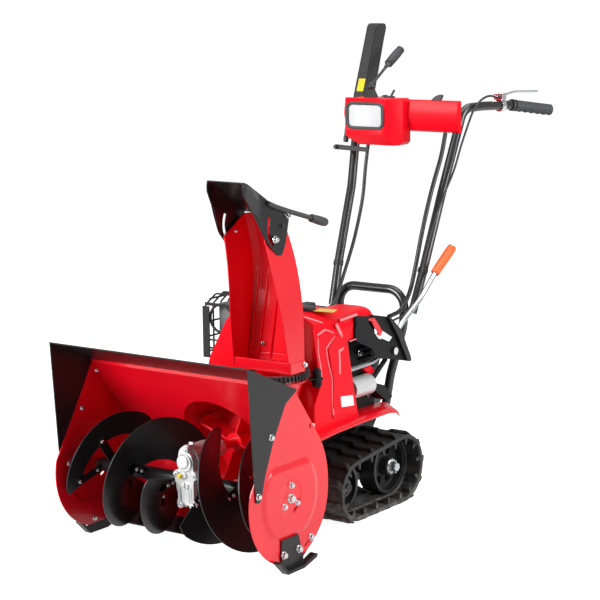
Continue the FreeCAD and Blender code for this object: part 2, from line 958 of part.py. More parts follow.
# ---------------------------------------------------------------- deflector
DEFLECTOR_SIDE = [
    (3, 914),
    (90, 859),
    (160, 818),
    (153, 785),
    (123, 728),
    (114, 729),
    (73, 770),
    (10, 874),
    (-3, 892),
]
HOOD_TOP = DEFLECTOR_SIDE[:3]
HOOD_HALF = 64
HOOD_SLOT = (150, 236, 4)
HOOD_SLOT_RADIUS = 53


def build_deflector():
    """Black hood over the chute's end: two cheeks and the sheet between them."""
    wall = num("chute_sheet")
    inner_half = HOOD_HALF
    x = num("chute_x")
    y = num("auger_y")
    pieces = []
    for side in (-1, 1):
        start = x + side * inner_half - (wall if side < 0 else 0)
        points = [Vector(start, y + across, up) for across, up in DEFLECTOR_SIDE]
        cheek = Part.Face(Part.makePolygon(points + [points[0]])).extrude(Vector(wall, 0, 0))
        pieces.append(cheek)
    span = [Vector(x - inner_half - wall, y + across, up) for across, up in HOOD_TOP]
    under = [Vector(point.x, point.y - 1.5, point.z - wall) for point in reversed(span)]
    roof = Part.Face(Part.makePolygon(span + under + [span[0]]))
    roof = roof.extrude(Vector(2 * (inner_half + wall), 0, 0))
    spot = Vector(x - 100, y + HINGE[0], HINGE[1])
    pivot = Part.makeCylinder(HINGE_PIN + num("running_fit"), 200, spot, Vector(1, 0, 0))
    slot_points = []
    for degrees in range(HOOD_SLOT[0], HOOD_SLOT[1] + 1, HOOD_SLOT[2]):
        turn = math.radians(degrees)
        arm = (HINGE[0] + HOOD_SLOT_RADIUS * math.cos(turn), HINGE[1] + HOOD_SLOT_RADIUS * math.sin(turn))
        slot_points.append(arm)
    slots = []
    for across, up in slot_points:
        start = Vector(x - 100, y + across, up)
        slots.append(Part.makeCylinder(4.5, 200, start, Vector(1, 0, 0)))
    return solid("deflector", roof.fuse(pieces).cut(pivot).cut(slots).removeSplitter())


deflector = keep(build_deflector())


def build_deflector_lever():
    """Rod and grip that reach back from the hood toward the operator."""
    x = num("chute_x") + HOOD_HALF + num("chute_sheet") + 4.8
    y = num("auger_y")
    rod = swept([(x, y + 100, 856), (x, y + 172, 833), (x, y + 263, 806)], [200], 5)
    grip = swept([(x, y + 258, 807.5), (x, y + 333, 784)], [], 9)
    return solid("deflector_lever", rod.fuse(grip).removeSplitter())


deflector_lever = keep(build_deflector_lever())

# ---------------------------------------------------------------- tracks
rear_y = behind(size("axle_behind"))
rear_z = size("axle_z")
front_y = behind(size("idler_behind"))
front_z = size("idler_z")
track_inside = size("track_centre") - size("track_width") / 2


def loop_points(offset):
    """Centres and radii of the two round ends of a belt line at this height over the lug tips."""
    front_radius = num("idler_z") - offset
    rear_radius = num("axle_z") - offset
    return front_radius, rear_radius


def loop_wire(offset, x):
    """Closed belt line: flat along the ground, round at both ends, straight over the top."""
    front_radius, rear_radius = loop_points(offset)
    fy, fz = float(front_y), num("idler_z")
    ry, rz = float(rear_y), num("axle_z")
    lean = math.atan2(rz - fz, ry - fy)
    far = math.hypot(ry - fy, rz - fz)
    tilt = lean + math.asin((rear_radius - front_radius) / far)
    up = (-math.sin(tilt), math.cos(tilt))

    def at(cy, cz, radius, dy, dz):
        return Vector(x, cy + radius * dy, cz + radius * dz)

    front_low = at(fy, fz, front_radius, 0, -1)
    front_top = at(fy, fz, front_radius, *up)
    front_mid = at(fy, fz, front_radius, -math.cos(tilt / 2), math.sin(-tilt / 2))
    rear_top = at(ry, rz, rear_radius, *up)
    rear_low = at(ry, rz, rear_radius, 0, -1)
    rear_mid = at(ry, rz, rear_radius, math.cos(tilt / 2), math.sin(tilt / 2))
    return Part.Wire(
        [
            Part.Arc(front_low, front_mid, front_top).toShape(),
            Part.LineSegment(front_top, rear_top).toShape(),
            Part.Arc(rear_top, rear_mid, rear_low).toShape(),
            Part.LineSegment(rear_low, front_low).toShape(),
        ]
    )


def drive_fins(count):
    """Sloping fins across the belt's inside, on both sides of the wheels."""
    line = loop_wire(num("lug_height") + num("belt_thickness"), 0)
    spots = line.discretize(Distance=line.Length / (count * 20))
    middle = num("track_centre")
    fins = []
    for index in range(count):
        step = int(round((index + 0.5) * (len(spots) - 1) / count))
        spot = spots[step]
        along = (spots[(step + 1) % (len(spots) - 1)] - spots[step - 1]).normalize()
        inward = Vector(0, along.z, -along.y)
        heart = Vector(0, (float(front_y) + float(rear_y)) / 2, 95)
        if (spot + inward * 5 - heart).Length > (spot - heart).Length:
            inward = inward * -1
        for side in (-1, 1):
            near = spot + Vector(middle + side * num("fin_start"), 0, 0)
            far = spot + Vector(middle + side * num("fin_end"), 0, 0)
            corners = [near - inward * 2, far - inward * 2, far + inward * 2, near + inward * num("fin_height")]
            corners = [corner - along * 4 for corner in corners]
            fins.append(Part.Face(Part.makePolygon(corners + [corners[0]])).extrude(along * 8))
    return fins


def build_track(name):
    """Rubber track as one loop, with its ground lugs outside and its drive lugs inside."""
    inside = float(track_inside)
    width = num("track_width")
    lug = num("lug_height")
    outer = Part.Face(loop_wire(lug, inside)).extrude(Vector(width, 0, 0))
    inner = Part.Face(loop_wire(lug + num("belt_thickness"), inside)).extrude(Vector(width, 0, 0))
    belt = outer.cut(inner)
    line = loop_wire(lug, inside)
    count = round(line.Length / num("lug_pitch"))
    spots = line.discretize(Distance=line.Length / (count * 20))
    pieces = []
    for index in range(count):
        step = int(round(index * (len(spots) - 1) / count))
        spot = spots[step]
        ahead = spots[(step + 1) % (len(spots) - 1)]
        back = spots[step - 1]
        along = (ahead - back).normalize()
        outward = Vector(0, along.z, -along.y) * -1
        if (spot + outward * 5 - Vector(inside, float(front_y) / 2 + float(rear_y) / 2, 95)).Length < (
            spot - Vector(inside, float(front_y) / 2 + float(rear_y) / 2, 95)
        ).Length:
            outward = outward * -1
        foot = [
            spot - outward * 3 - along * 14,
            spot - outward * 3 + along * 14,
            spot + outward * lug + along * 8,
            spot + outward * lug - along * 8,
        ]
        bar = Part.Face(Part.makePolygon(foot + [foot[0]])).extrude(Vector(width, 0, 0))
        pieces.append(bar)
    return solid(name, belt.fuse(pieces + drive_fins(count)).removeSplitter())


track_left = keep(build_track("track_left"))
track_right = keep(mirror("track_right", track_left))


def build_wheel(name, centre_y, centre_z, radius, holes):
    """Cast wheel: a rim, a web with round windows and a hub on the shaft."""
    reach = size("track_centre")
    half = size("wheel_half")
    web = size("web_half")
    hub = size("hub_half")
    inside = radius - size("rim_thickness")
    start = reach - half
    pieces = [
        cut(
            name + "_rim",
            cylinder(name + "_rim_outside", (start, centre_y, centre_z), radius, half * 2, "x"),
            cylinder(name + "_rim_inside", (start - 1, centre_y, centre_z), inside, half * 2 + 2, "x"),
        ),
        cylinder(name + "_web", (reach - web, centre_y, centre_z), inside + 1, web * 2, "x"),
        cylinder(name + "_hub", (reach - hub, centre_y, centre_z), size("hub_radius"), hub * 2, "x"),
    ]
    bore = (reach - hub - 1, centre_y, centre_z)
    cuts = [cylinder(name + "_bore", bore, size("axle_radius") + size("running_fit"), hub * 2 + 2, "x")]
    for index in range(holes):
        turn = math.radians(360 / holes * index)
        middle = (float(inside) + num("hub_radius")) / 2
        spot_y = centre_y + middle * math.cos(turn)
        spot_z = centre_z + middle * math.sin(turn)
        spot = (reach - web - 1, spot_y, spot_z)
        window = cylinder(f"{name}_window{index}", spot, size("window_radius"), web * 2 + 2, "x")
        cuts.append(window)
    tool = fuse(name + "_holes", cuts) if len(cuts) > 1 else cuts[0]
    return cut(name, fuse(name + "_whole", pieces), tool)


BELT_IN = num("lug_height") + num("belt_thickness")
wheel_gap = 0.3
drive_wheel_left = keep(
    build_wheel("drive_wheel_left", rear_y, rear_z, rear_z - BELT_IN - wheel_gap, 6)
)
drive_wheel_right = keep(mirror("drive_wheel_right", drive_wheel_left))
idler_left = keep(build_wheel("idler_left", front_y, front_z, front_z - BELT_IN - wheel_gap, 0))
idler_right = keep(mirror("idler_right", idler_left))


def build_axle():
    """Drive axle through both drive wheels and the machine's frame."""
    return cylinder("drive_axle", (-196, rear_y, rear_z), size("axle_radius"), 392, "x")


drive_axle = keep(build_axle())


def build_track_frame():
    """Rails inside the tracks, their idler shafts and the tube that ties the two sides."""
    rail = slab(
        "rail_left",
        "YZ",
        [
            (behind(409), 70),
            Via(behind(391), 88),
            (behind(409), 106),
            (behind(622), 121),
            Via(behind(644), 99),
            (behind(622), 77),
        ],
        6,
        size("track_centre") - size("hub_half") - 7,
    )
    shaft = cylinder("idler_shaft_left", (110, front_y, front_z), size("axle_radius"), 80, "x")
    side = fuse("track_frame_left", [rail, shaft])
    cross = cylinder("frame_cross", (-150, behind(505), 92), 12, 300, "x")
    whole = fuse("track_frame_whole", [side, mirror("track_frame_right", side), cross])
    hole = cylinder("track_frame_hole", (-200, rear_y, rear_z), size("axle_radius") + 0.05, 400, "x")
    return cut("track_frame", whole, hole)


track_frame = keep(build_track_frame())

# ---------------------------------------------------------------- machine frame and engine
FRAME_SIDE = [
    (262, 262),
    (733.2, 262),
    (733.2, 190),
    (700, 150),
    (640, 76),
    (600, 76),
    (560, 130),
    (420, 135),
    (330, 120),
    (239.3, 150),
    (239.3, 262),
]


def build_main_frame():
    """Two side plates and the deck that carries the engine; the axle passes through them."""
    outline = [(behind(across), up) for across, up in FRAME_SIDE]
    plate = slab("frame_plate_left", "YZ", outline, 5, 56)
    pieces = [plate, mirror("frame_plate_right", plate)]
    pieces.append(box("frame_deck", (-150, behind(262), 257), (300, 471.2, 5)))
    pieces.append(box("frame_front", (-61, behind(239.3), 150), (122, 5, 112)))
    pieces.append(box("frame_back", (-98, behind(728.2), 205), (196, 5, 57)))
    whole = fuse("main_frame_whole", pieces)
    axle = cylinder("main_frame_axle", (-100, rear_y, rear_z), size("axle_radius") + 0.05, 200, "x")
    shaft = cylinder("main_frame_shaft", (gear_x, behind(230), impeller_z), 24, 40, "y")
    return cut("main_frame", whole, fuse("main_frame_holes", [axle, shaft]))


main_frame = keep(build_main_frame())
engine_block = keep(box("engine_block", (-150, behind(392), 262.3), (300, 300, 235)))

COVER_TOP = 556
COVER_FRONT = [
    (200, 262.3),
    (200, 512),
    (188, 536),
    (128, COVER_TOP),
    (-60, COVER_TOP),
    (-95, 520),
    (-150, 420),
    (-196, 262.3),
]
COVER_SIDE = [
    (222, 262.3),
    (222, 300),
    (274, 384),
    (262, 430),
    (244, 517),
    (286, COVER_TOP),
    (424, COVER_TOP),
    (424, 520),
    (393, 475),
    (410, 391),
    (439, 274),
    (439, 262.3),
]
COVER_WALL = 3
COVER_PANEL = [(340, 500), (304, 470), (326, 384), (322, 290), (431, 290), (404, 391), (388, 472), (366, 500)]


def cover_form(inset, low):
    """The cover's outside, or the same drawn in by the wall's thickness."""
    x_scale = (200 - inset) / 200
    front = []
    for across, up in COVER_FRONT:
        top = up - inset if up > 400 else up
        front.append(Vector(across * x_scale, float(behind(200)), top if up > 263 else low))
    middle = sum(across for across, up in COVER_SIDE) / len(COVER_SIDE)
    side = []
    for across, up in COVER_SIDE:
        top = up - inset if up > 510 else up
        shift = inset if across < middle else 60 * (inset > 0)
        side.append(Vector(-210, float(behind(across)) + shift, top if up > 263 else low))
    across_form = Part.Face(Part.makePolygon(front + [front[0]])).extrude(Vector(0, 300, 0))
    side_form = Part.Face(Part.makePolygon(side + [side[0]])).extrude(Vector(420, 0, 0))
    form = across_form.common(side_form)
    axis = Vector(num("chute_x"), float(chute_y), low - 10)
    sweep = num("chute_sweep") + inset
    round_room = Part.makeCylinder(sweep, 400, axis)
    flat_room = Part.makeBox(700, sweep, 400, Vector(num("chute_x") - 700, float(chute_y), low - 10))
    return form.cut([round_room, flat_room])


def build_belt_cover():
    """Tall moulded cover over the belt drive, hollowed round the chute, open toward the engine."""
    outside = cover_form(0, 262.3)
    inside = cover_form(COVER_WALL, 240)
    engine_room = Part.makeBox(303.2, 80, 400, Vector(-150 - 1.6, float(behind(390)), 250))
    tail = Part.makeBox(400, 80, 400, Vector(-400 + 150, float(behind(390)), 250))
    outline = [Vector(198, float(behind(across)), up) for across, up in COVER_PANEL]
    panel = Part.Face(Part.makePolygon(outline + [outline[0]])).extrude(Vector(5, 0, 0))
    shape = outside.cut([inside, engine_room, tail]).fuse(panel)
    return solid("belt_cover", shape.removeSplitter())


belt_cover = keep(build_belt_cover())


def build_tank():
    """Fuel tank with a rounded top, behind the belt cover."""
    tank = box("tank_block", (-90, behind(390.3), 497.6), (238, 230, 84))
    doc.recompute()
    rounded = doc.addObject("Part::Fillet", "fuel_tank")
    rounded.Base = tank
    edges = []
    for index, edge in enumerate(tank.Shape.Edges, start=1):
        box_of_edge = edge.BoundBox
        if box_of_edge.ZMin > 560:
            edges.append((index, 26, 26))
    rounded.Edges = edges
    return rounded


fuel_tank = keep(build_tank())
fuel_cap = keep(cylinder("fuel_cap", (116, behind(335), COVER_TOP + 0.3), 23, 12))

FENDER_SIDE = [
    (223, 240),
    (262, 262),
    (560, 262),
    (592, 242),
    (590, 239),
    (559, 259),
    (263, 259),
    (225, 237),
]


def build_fender():
    """Sheet guard over each track, turned down at its ends."""
    outline = [(behind(across), up) for across, up in FENDER_SIDE]
    return slab("fender_left", "YZ", outline, 79.7, 150.3)


fender_left = keep(build_fender())
fender_right = keep(mirror("fender_right", fender_left))
starter_motor = keep(cylinder("starter_motor", (177.3, behind(428), 342), 27, 89, "y"))
recoil_housing = keep(cylinder("recoil_housing", (0, behind(692.3), 375), 84, 26, "y"))


def build_muffler():
    return box("muffler", (-230.3, behind(420), 400), (80, 110, 130))


muffler = keep(build_muffler())


GUARD_WIRE = 2.5
GUARD_OUT = -258
GUARD_HOOPS = (397, 430, 463, 496, 529, 562)
GUARD_RAILS = [(-258, 480), (-258, 440), (-258, 400), (-240, 545), (-200, 560)]


def build_guard():
    """Wire cage round the muffler: arched hoops, long rails, and a front frame with a round mouth."""
    y = num("auger_y")
    inner = -150.3
    wires = []
    for along in GUARD_HOOPS:
        path = [
            (GUARD_OUT, y + along, 388),
            (GUARD_OUT, y + along, 526),
            (-222, y + along, 560),
            (inner, y + along, 560),
        ]
        wires.append(swept(path, [14, 14], GUARD_WIRE))
    first, last = GUARD_HOOPS[0], GUARD_HOOPS[-1]
    for x, z in GUARD_RAILS:
        wires.append(swept([(x, y + first - 3, z), (x, y + last + 3, z)], [], GUARD_WIRE))
    for height in (390, 412, 434):
        wires.append(swept([(GUARD_OUT - 4, y + first, height), (inner, y + first, height)], [], GUARD_WIRE))
    for across in (-232, -206, -180):
        wires.append(swept([(across, y + first, 388), (across, y + first, 458)], [], GUARD_WIRE))
    strip = Part.makeBox(22, 3, 138, Vector(-264, y + first - 6, 386))
    mouth = Part.makeCylinder(40, 4, Vector(-205, y + first - 2, 494), Vector(0, 1, 0))
    mouth = mouth.cut(Part.makeCylinder(34, 8, Vector(-205, y + first - 4, 494), Vector(0, 1, 0)))
    beam = Part.makeBox(GUARD_OUT * -1 + inner, 3, 8, Vector(GUARD_OUT, y + first - 3, 526))
    shape = wires[0].fuse(wires[1:] + [strip, mouth, beam])
    return solid("muffler_guard", shape)


muffler_guard = keep(build_guard())

# ---------------------------------------------------------------- height lever and its gate
LEVER_POINTS = [(412, 395), (532, 398), (621, 438), (667, 476), (761, 528), (842, 593)]
LEVER_GRIP = [(838, 590), (925, 647)]


def build_height_lever():
    """Bent rod that raises and lowers the augers, with its plastic grip."""
    x = num("lever_x")
    y = num("auger_y")
    rod = swept([(x, y + across, up) for across, up in LEVER_POINTS], [60, 60, 120, 200], num("lever_radius"))
    grip = swept([(x, y + across, up) for across, up in LEVER_GRIP], [], 12)
    side = 150 + num("seat")
    pivot = Vector(side, y + LEVER_POINTS[0][0], LEVER_POINTS[0][1])
    boss = Part.makeCylinder(12, x + num("lever_radius") - side, pivot, Vector(1, 0, 0))
    return solid("height_lever", rod.fuse([grip, boss]).removeSplitter())


height_lever = keep(build_height_lever())


GATE_SLOPE = [(570, 514), (677, 396)]
GATE_WALL = [(427, 536), (570, 514), (677, 396), (672, 377), (544, 407), (444, 481)]


GATE_RIM = [(427, 536), (570, 514), (677, 396), (664, 378), (556, 496), (427, 524)]


def build_gate():
    """Black box beside the engine; the lever moves in the slot of its sloping rear plate."""
    y = num("auger_y")
    inner = 150.3
    outer = 206
    wall = [Vector(inner, y + across, up) for across, up in GATE_WALL]
    side = Part.Face(Part.makePolygon(wall + [wall[0]])).extrude(Vector(3, 0, 0))
    top = [Vector(inner, y + across, up) for across, up in GATE_WALL[:3]]
    low = [Vector(inner, point.y - 2, point.z - 3) for point in reversed(top)]
    roof = Part.Face(Part.makePolygon(top + low + [top[0]])).extrude(Vector(outer - inner, 0, 0))
    slot = Part.makeBox(26, 86, 40)
    slot.translate(Vector(-13, -43, -20))
    angle = math.degrees(
        math.atan2(GATE_SLOPE[1][1] - GATE_SLOPE[0][1], GATE_SLOPE[1][0] - GATE_SLOPE[0][0])
    )
    slot.rotate(Vector(), Vector(1, 0, 0), angle)
    slot.translate(Vector(num("lever_x"), y + 611, 468.8))
    notch = Part.makeCylinder(16, 60, Vector(-13, 20, -30))
    notch.rotate(Vector(), Vector(1, 0, 0), angle)
    notch.translate(Vector(num("lever_x"), y + 611, 468.8))
    rim_points = [Vector(outer, y + across, up) for across, up in GATE_RIM]
    rim = Part.Face(Part.makePolygon(rim_points + [rim_points[0]])).extrude(Vector(3, 0, 0))
    return solid("gate_panel", side.fuse([roof, rim]).cut([slot, notch]).removeSplitter())


gate_panel = keep(build_gate())

# ---------------------------------------------------------------- handles
POST = [(83, 746, 230), (88, 762, 310), (104, 802, 440), (108, 806, 538), (0, 806, 541)]
UPPER = [(131, 806, 478), (140, 852, 600), (149, 931, 800), (172, 1003, 1020), (186, 1080, 1022)]
GRIP_START = (215, 1209, 1017)
GRIP_END = (264, 1331, 998)


def build_post_frame():
    """Lower handle frame: one tube bent into an arch, with its feet on the machine frame."""
    y = num("auger_y")
    left = [(x, y + across, up) for x, across, up in POST[:-1]]
    right = [(-x, yy, up) for x, yy, up in reversed(left)]
    shape = swept(left + right, [150, 150, 50, 50, 150, 150], num("tube_radius"))
    return solid("handle_frame", shape)


handle_frame = keep(build_post_frame())


def grip_point(share):
    """A point on the grip's axis, 0 at its start and 1 at its end."""
    start = Vector(GRIP_START[0], num("auger_y") + GRIP_START[1], GRIP_START[2])
    end = Vector(GRIP_END[0], num("auger_y") + GRIP_END[1], GRIP_END[2])
    return start + (end - start) * share


def build_handle():
    """Upper handle tube from the arch to near the end of its grip."""
    y = num("auger_y")
    points = [(x, y + across, up) for x, across, up in UPPER]
    points.append(tuple(grip_point(-0.1)))
    points.append(tuple(grip_point(0.95)))
    return tube("handle_left", points, [300, 300, num("handle_bend"), 200, 80], num("tube_radius"))


handle_left = keep(build_handle())
handle_right = keep(mirror("handle_right", handle_left))


def build_grip():
    """Rubber grip drawn over the tube's end."""
    start = grip_point(0)
    end = grip_point(1)
    heading = (end - start).normalize()
    shape = Part.makeCylinder(num("grip_radius"), (end - start).Length, start, heading)
    bore = Part.makeCylinder(num("tube_radius") + 0.05, (end - start).Length * 0.96, start, heading)
    return solid("grip_left", shape.cut(bore))


grip_left = keep(build_grip())
grip_right = keep(mirror("grip_right", grip_left))


COWL_PROFILE = [(951, 1043), (944, 998), (957, 960), (968.6, 955), (968.6, 1043)]
LAMP_PLAN = [
    (-142, 890),
    (-132, 880),
    (-14, 880),
    (-4, 884),
    (27, 924),
    (27, 962),
    (-142, 962),
]
LAMP_SIDE = [(880, 1034), (892, 1047), (962, 1047), (962, 919), (900, 919), (880, 946)]
LAMP_FRONT = [
    (-142, 1034),
    (-130, 1047),
    (20, 1047),
    (27, 1040),
    (27, 928),
    (18, 919),
    (-100, 919),
    (-128, 936),
    (-142, 960),
]
LENS_CORNER = 12
LENS = (-129, 966, 118, 68)


def lens_block(inset, front, depth):
    """The lamp window's rounded rectangle, drawn in by a clearance."""
    x, z, width, height = LENS
    corner = LENS_CORNER
    block = Part.makeBox(
        width - inset * 2, depth, height - inset * 2, Vector(x + inset, float(behind(front)), z + inset)
    )
    upright = [edge for edge in block.Edges if abs(edge.tangentAt(edge.FirstParameter).y) > 0.99]
    return block.makeFillet(corner - inset, upright)


def build_cowl():
    """Red panel across the handles, with the lamp's faceted box standing forward of it."""
    profile = [Vector(-182, float(behind(across)), up) for across, up in COWL_PROFILE]
    panel = Part.Face(Part.makePolygon(profile + [profile[0]])).extrude(Vector(368, 0, 0))
    plan = [Vector(across, float(behind(deep)), 900) for across, deep in LAMP_PLAN]
    side = [Vector(-200, float(behind(deep)), up) for deep, up in LAMP_SIDE]
    front = [Vector(across, float(behind(860)), up) for across, up in LAMP_FRONT]
    forms = [
        Part.Face(Part.makePolygon(plan + [plan[0]])).extrude(Vector(0, 0, 200)),
        Part.Face(Part.makePolygon(side + [side[0]])).extrude(Vector(400, 0, 0)),
        Part.Face(Part.makePolygon(front + [front[0]])).extrude(Vector(0, 120, 0)),
    ]
    lamp = forms[0].common(forms[1]).common(forms[2])
    window = lens_block(0, 878, 12)
    shape = panel.fuse(lamp).removeSplitter().cut(window)
    return solid("control_cowl", shape)


control_cowl = keep(build_cowl())
lamp_glass = keep(solid("lamp_glass", lens_block(num("seat"), 882, 7.7)))


CABLE_ROUTES = {
    # radius, then (across, behind the axle, height) from the top end down to the engine's back
    "harness_left": (
        6,
        [
            (140, 962, 954.6),
            (140, 941, 893),
            (140, 900, 824),
            (138, 868, 752),
            (136, 840, 676),
            (134, 818, 604),
            (131, 794, 536),
            (129, 754, 492),
            (128, 693, 486),
        ],
    ),
    "harness_right": (
        5,
        [
            (-95, 935, 917.6),
            (-96, 921, 852),
            (-98, 913, 776),
            (-100, 892, 708),
            (-96, 860, 650),
            (-91, 824, 602),
            (-88, 796, 563),
            (-87, 780, 540),
            (-85, 760, 508),
            (-84, 732, 487),
            (-84, 693, 482.5),
        ],
    ),
    "brake_cable": (
        3,
        [
            (198, 1142.3, 1043),
            (198, 1098, 1051),
            (198, 1052, 1042),
            (196, 1014, 1014),
            (193, 988, 970),
            (188, 962, 918),
            (182, 940, 858),
            (174, 904, 800),
            (167, 868, 738),
            (163, 838, 672),
            (160, 812, 604),
            (156, 782, 536),
            (151, 750, 488),
            (144, 693.3, 478),
        ],
    ),
}


def corner_radii(points):
    """Arc radius at each corner: 0.45 of the shorter run over the tangent of half the turn."""
    radii = []
    for before, here, after in zip(points, points[1:], points[2:]):
        one = Vector(*here) - Vector(*before)
        two = Vector(*after) - Vector(*here)
        half_turn = one.getAngle(two) / 2
        radii.append(0.45 * min(one.Length, two.Length) / math.tan(half_turn))
    return radii


def build_cable(name):
    """A control cable or wire bundle, from the cowl down behind the tubes."""
    radius, stops = CABLE_ROUTES[name]
    points = [(across, float(behind(deep)), up) for across, deep, up in stops]
    radii = corner_radii(points)
    print(name, "radii", [round(value) for value in radii])
    shape = swept(points, radii, radius)
    length = sum(edge.Length for edge in route(points, radii).Edges)
    print(name, "length", round(length), "volume share", round(shape.Volume / (math.pi * radius**2 * length), 3))
    return solid(name, shape)


harness_left = keep(build_cable("harness_left"))
harness_right = keep(build_cable("harness_right"))
brake_cable = keep(build_cable("brake_cable"))


def build_brake_lever():
    """Clamp on the handle tube before the grip, with the small lever that lies over the grip."""
    y = num("auger_y")
    low = Vector(UPPER[-1][0], y + UPPER[-1][1], UPPER[-1][2])
    high = grip_point(-0.1)
    start = low + (high - low) * 0.58
    heading = (high - low).normalize()
    reach = num("tube_radius")
    ring = Part.makeCylinder(reach + 5, 15, start, heading)
    ring = ring.cut(Part.makeCylinder(reach + num("seat"), 19, start - heading * 2, heading))
    block = Part.makeBox(27, 22, 18, Vector(187, y + 1143, 1036))
    lever = swept([(206, y + 1160, 1048), (217, y + 1204, 1056), (246, y + 1286, 1053)], [90], 3)
    return solid("brake_lever", ring.fuse([block, lever]))


brake_lever = keep(build_brake_lever())


def build_side_box():
    """Black rubber-edged box low at the engine's side, with the hose that rises from it."""
    y = num("auger_y")
    outline = [(150.3, 527), (206, 540), (206, 602), (190, 615), (150.3, 615)]
    corners = [Vector(across, y + deep, 284) for across, deep in outline]
    case = Part.Face(Part.makePolygon(corners + [corners[0]])).extrude(Vector(0, 0, 56))
    lid = Part.makeBox(40, 60, 6, Vector(156, y + 545, 340))
    return solid("side_box", case.fuse(lid).removeSplitter())


side_box = keep(build_side_box())


def build_clutch_lever():
    """Tall channel lever that drives the tracks while it is held down."""
    y = num("auger_y")
    outline = [(1000, 1034), (1056, 1034), (1123, 1246), (1075, 1246)]
    points = [Vector(-190, y + across, up) for across, up in outline]
    return solid("clutch_lever", Part.Face(Part.makePolygon(points + [points[0]])).extrude(Vector(34, 0, 0)))


clutch_lever = keep(build_clutch_lever())


def build_joystick():
    """Stick that turns the chute, in its rubber boot."""
    y = num("auger_y")
    x = -95
    boot = Part.makeCone(20, 8, 26, Vector(x, y + 951, 1047.3))
    rod = swept([(x, y + 951, 1050), (x, y + 953, 1080), (x, y + 1042, 1136)], [30], 4)
    knob = swept([(x, y + 1040, 1135), (x, y + 1103, 1172)], [], 12)
    return solid("chute_joystick", boot.fuse([rod, knob]).removeSplitter())


chute_joystick = keep(build_joystick())

# ---------------------------------------------------------------- check and write
doc.recompute()
for item in doc.Objects:
    if "Invalid" in item.State or "Error" in item.State:
        raise RuntimeError(f"{item.Label} did not build: {item.State}")
for item in parts:
    if item.Shape.isNull() or not item.Shape.isValid():
        raise RuntimeError(f"{item.Label} has no valid shape")
os.makedirs("parts", exist_ok=True)
for item in parts:
    item.Shape.exportStep(f"parts/{item.Label}.step")
    limits = item.Shape.BoundBox
    print(
        f"{item.Label}: {len(item.Shape.Solids)} solids,"
        f" {limits.XLength:.0f} x {limits.YLength:.0f} x {limits.ZLength:.0f} mm"
    )
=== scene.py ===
# %% [markdown]
# # Looks of a walk-behind snow blower
# The machine stands on two rubber tracks. A red auger housing is in front of them, a tall turning
# chute rises from its back, and two bent tubes run up to the grips. The sheet parts, tubes and
# castings come ready made from the CAD model, each as its own node. This script gives them their
# finishes and adds the small things that the CAD leaves out, such as bolts, lugs and labels.
# Everything is in metres. X runs to the operator's left, Y from the housing back to the grips, Z up.

import json
import math

import bmesh
import bpy
from mathutils import Matrix, Vector
from mathutils.geometry import delaunay_2d_cdt


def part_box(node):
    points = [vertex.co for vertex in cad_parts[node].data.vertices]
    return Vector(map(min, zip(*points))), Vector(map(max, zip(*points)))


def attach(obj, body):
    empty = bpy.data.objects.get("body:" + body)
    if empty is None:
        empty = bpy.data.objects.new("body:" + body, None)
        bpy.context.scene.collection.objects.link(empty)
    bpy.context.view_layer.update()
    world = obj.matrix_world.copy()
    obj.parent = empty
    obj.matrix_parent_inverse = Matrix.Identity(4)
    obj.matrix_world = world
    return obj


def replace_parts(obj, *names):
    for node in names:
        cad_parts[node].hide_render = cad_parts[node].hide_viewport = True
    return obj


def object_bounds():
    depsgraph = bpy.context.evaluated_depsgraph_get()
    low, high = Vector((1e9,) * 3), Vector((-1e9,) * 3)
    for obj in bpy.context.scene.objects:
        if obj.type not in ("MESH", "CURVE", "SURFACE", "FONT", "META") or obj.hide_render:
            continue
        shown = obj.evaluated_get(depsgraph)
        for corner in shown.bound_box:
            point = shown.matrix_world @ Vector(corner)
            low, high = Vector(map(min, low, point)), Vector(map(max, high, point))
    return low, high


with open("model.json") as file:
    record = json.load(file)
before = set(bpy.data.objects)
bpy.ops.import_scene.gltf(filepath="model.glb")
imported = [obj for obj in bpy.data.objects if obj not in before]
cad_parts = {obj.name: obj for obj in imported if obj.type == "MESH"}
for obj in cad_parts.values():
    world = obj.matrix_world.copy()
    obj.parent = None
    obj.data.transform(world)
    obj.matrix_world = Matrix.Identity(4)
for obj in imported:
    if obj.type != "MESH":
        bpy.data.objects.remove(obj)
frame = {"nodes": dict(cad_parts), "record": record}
nodes = frame["nodes"]
cad_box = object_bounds()
AUGER_Y = -0.586


def behind(distance):
    """A distance behind the auger's axle, in metres, as a Y position."""
    return AUGER_Y + distance


def at(x, distance, z):
    """A point: across, behind the auger's axle, and above the ground."""
    return Vector((x, behind(distance), z))


ACROSS, REARWARD, UPWARD = Vector((1, 0, 0)), Vector((0, 1, 0)), Vector((0, 0, 1))
SIDES = ((1, "left"), (-1, "right"))
print("nodes", len(nodes), "box", [[round(v, 3) for v in corner] for corner in cad_box])

# %% [markdown]
# ## Camera
# A long lens stands low in front of the housing, to the operator's left. The camera is built from
# the direction that it looks in, because that is easier to read than three turn angles. The lens
# has the field of view of 115 mm on a 36 mm sensor, so upright lines stay nearly parallel.

# %% Camera
VIEW_TURN = math.radians(35.70)
VIEW_RISE = math.radians(9.76)
VIEW_ROLL = math.radians(-0.67)
camera_data = bpy.data.cameras.new("camera")
camera_data.lens = 115.344
camera_data.sensor_width = 36.0
CAMERA_AT = (2.8751, -4.1196, 1.3997)
camera = bpy.data.objects.new("camera", camera_data)
backward = Vector(
    (
        math.sin(VIEW_TURN) * math.cos(VIEW_RISE), -math.cos(VIEW_TURN) * math.cos(VIEW_RISE),
        math.sin(VIEW_RISE),
    )
)
turn = backward.to_track_quat("Z", "Y").to_matrix()
roll = Matrix.Rotation(VIEW_ROLL, 3, "Z")
camera.matrix_world = Matrix.Translation(CAMERA_AT) @ (turn @ roll).to_4x4()
bpy.context.scene.collection.objects.link(camera)
bpy.context.scene.camera = camera
print("camera looks along", [round(-v, 3) for v in backward])

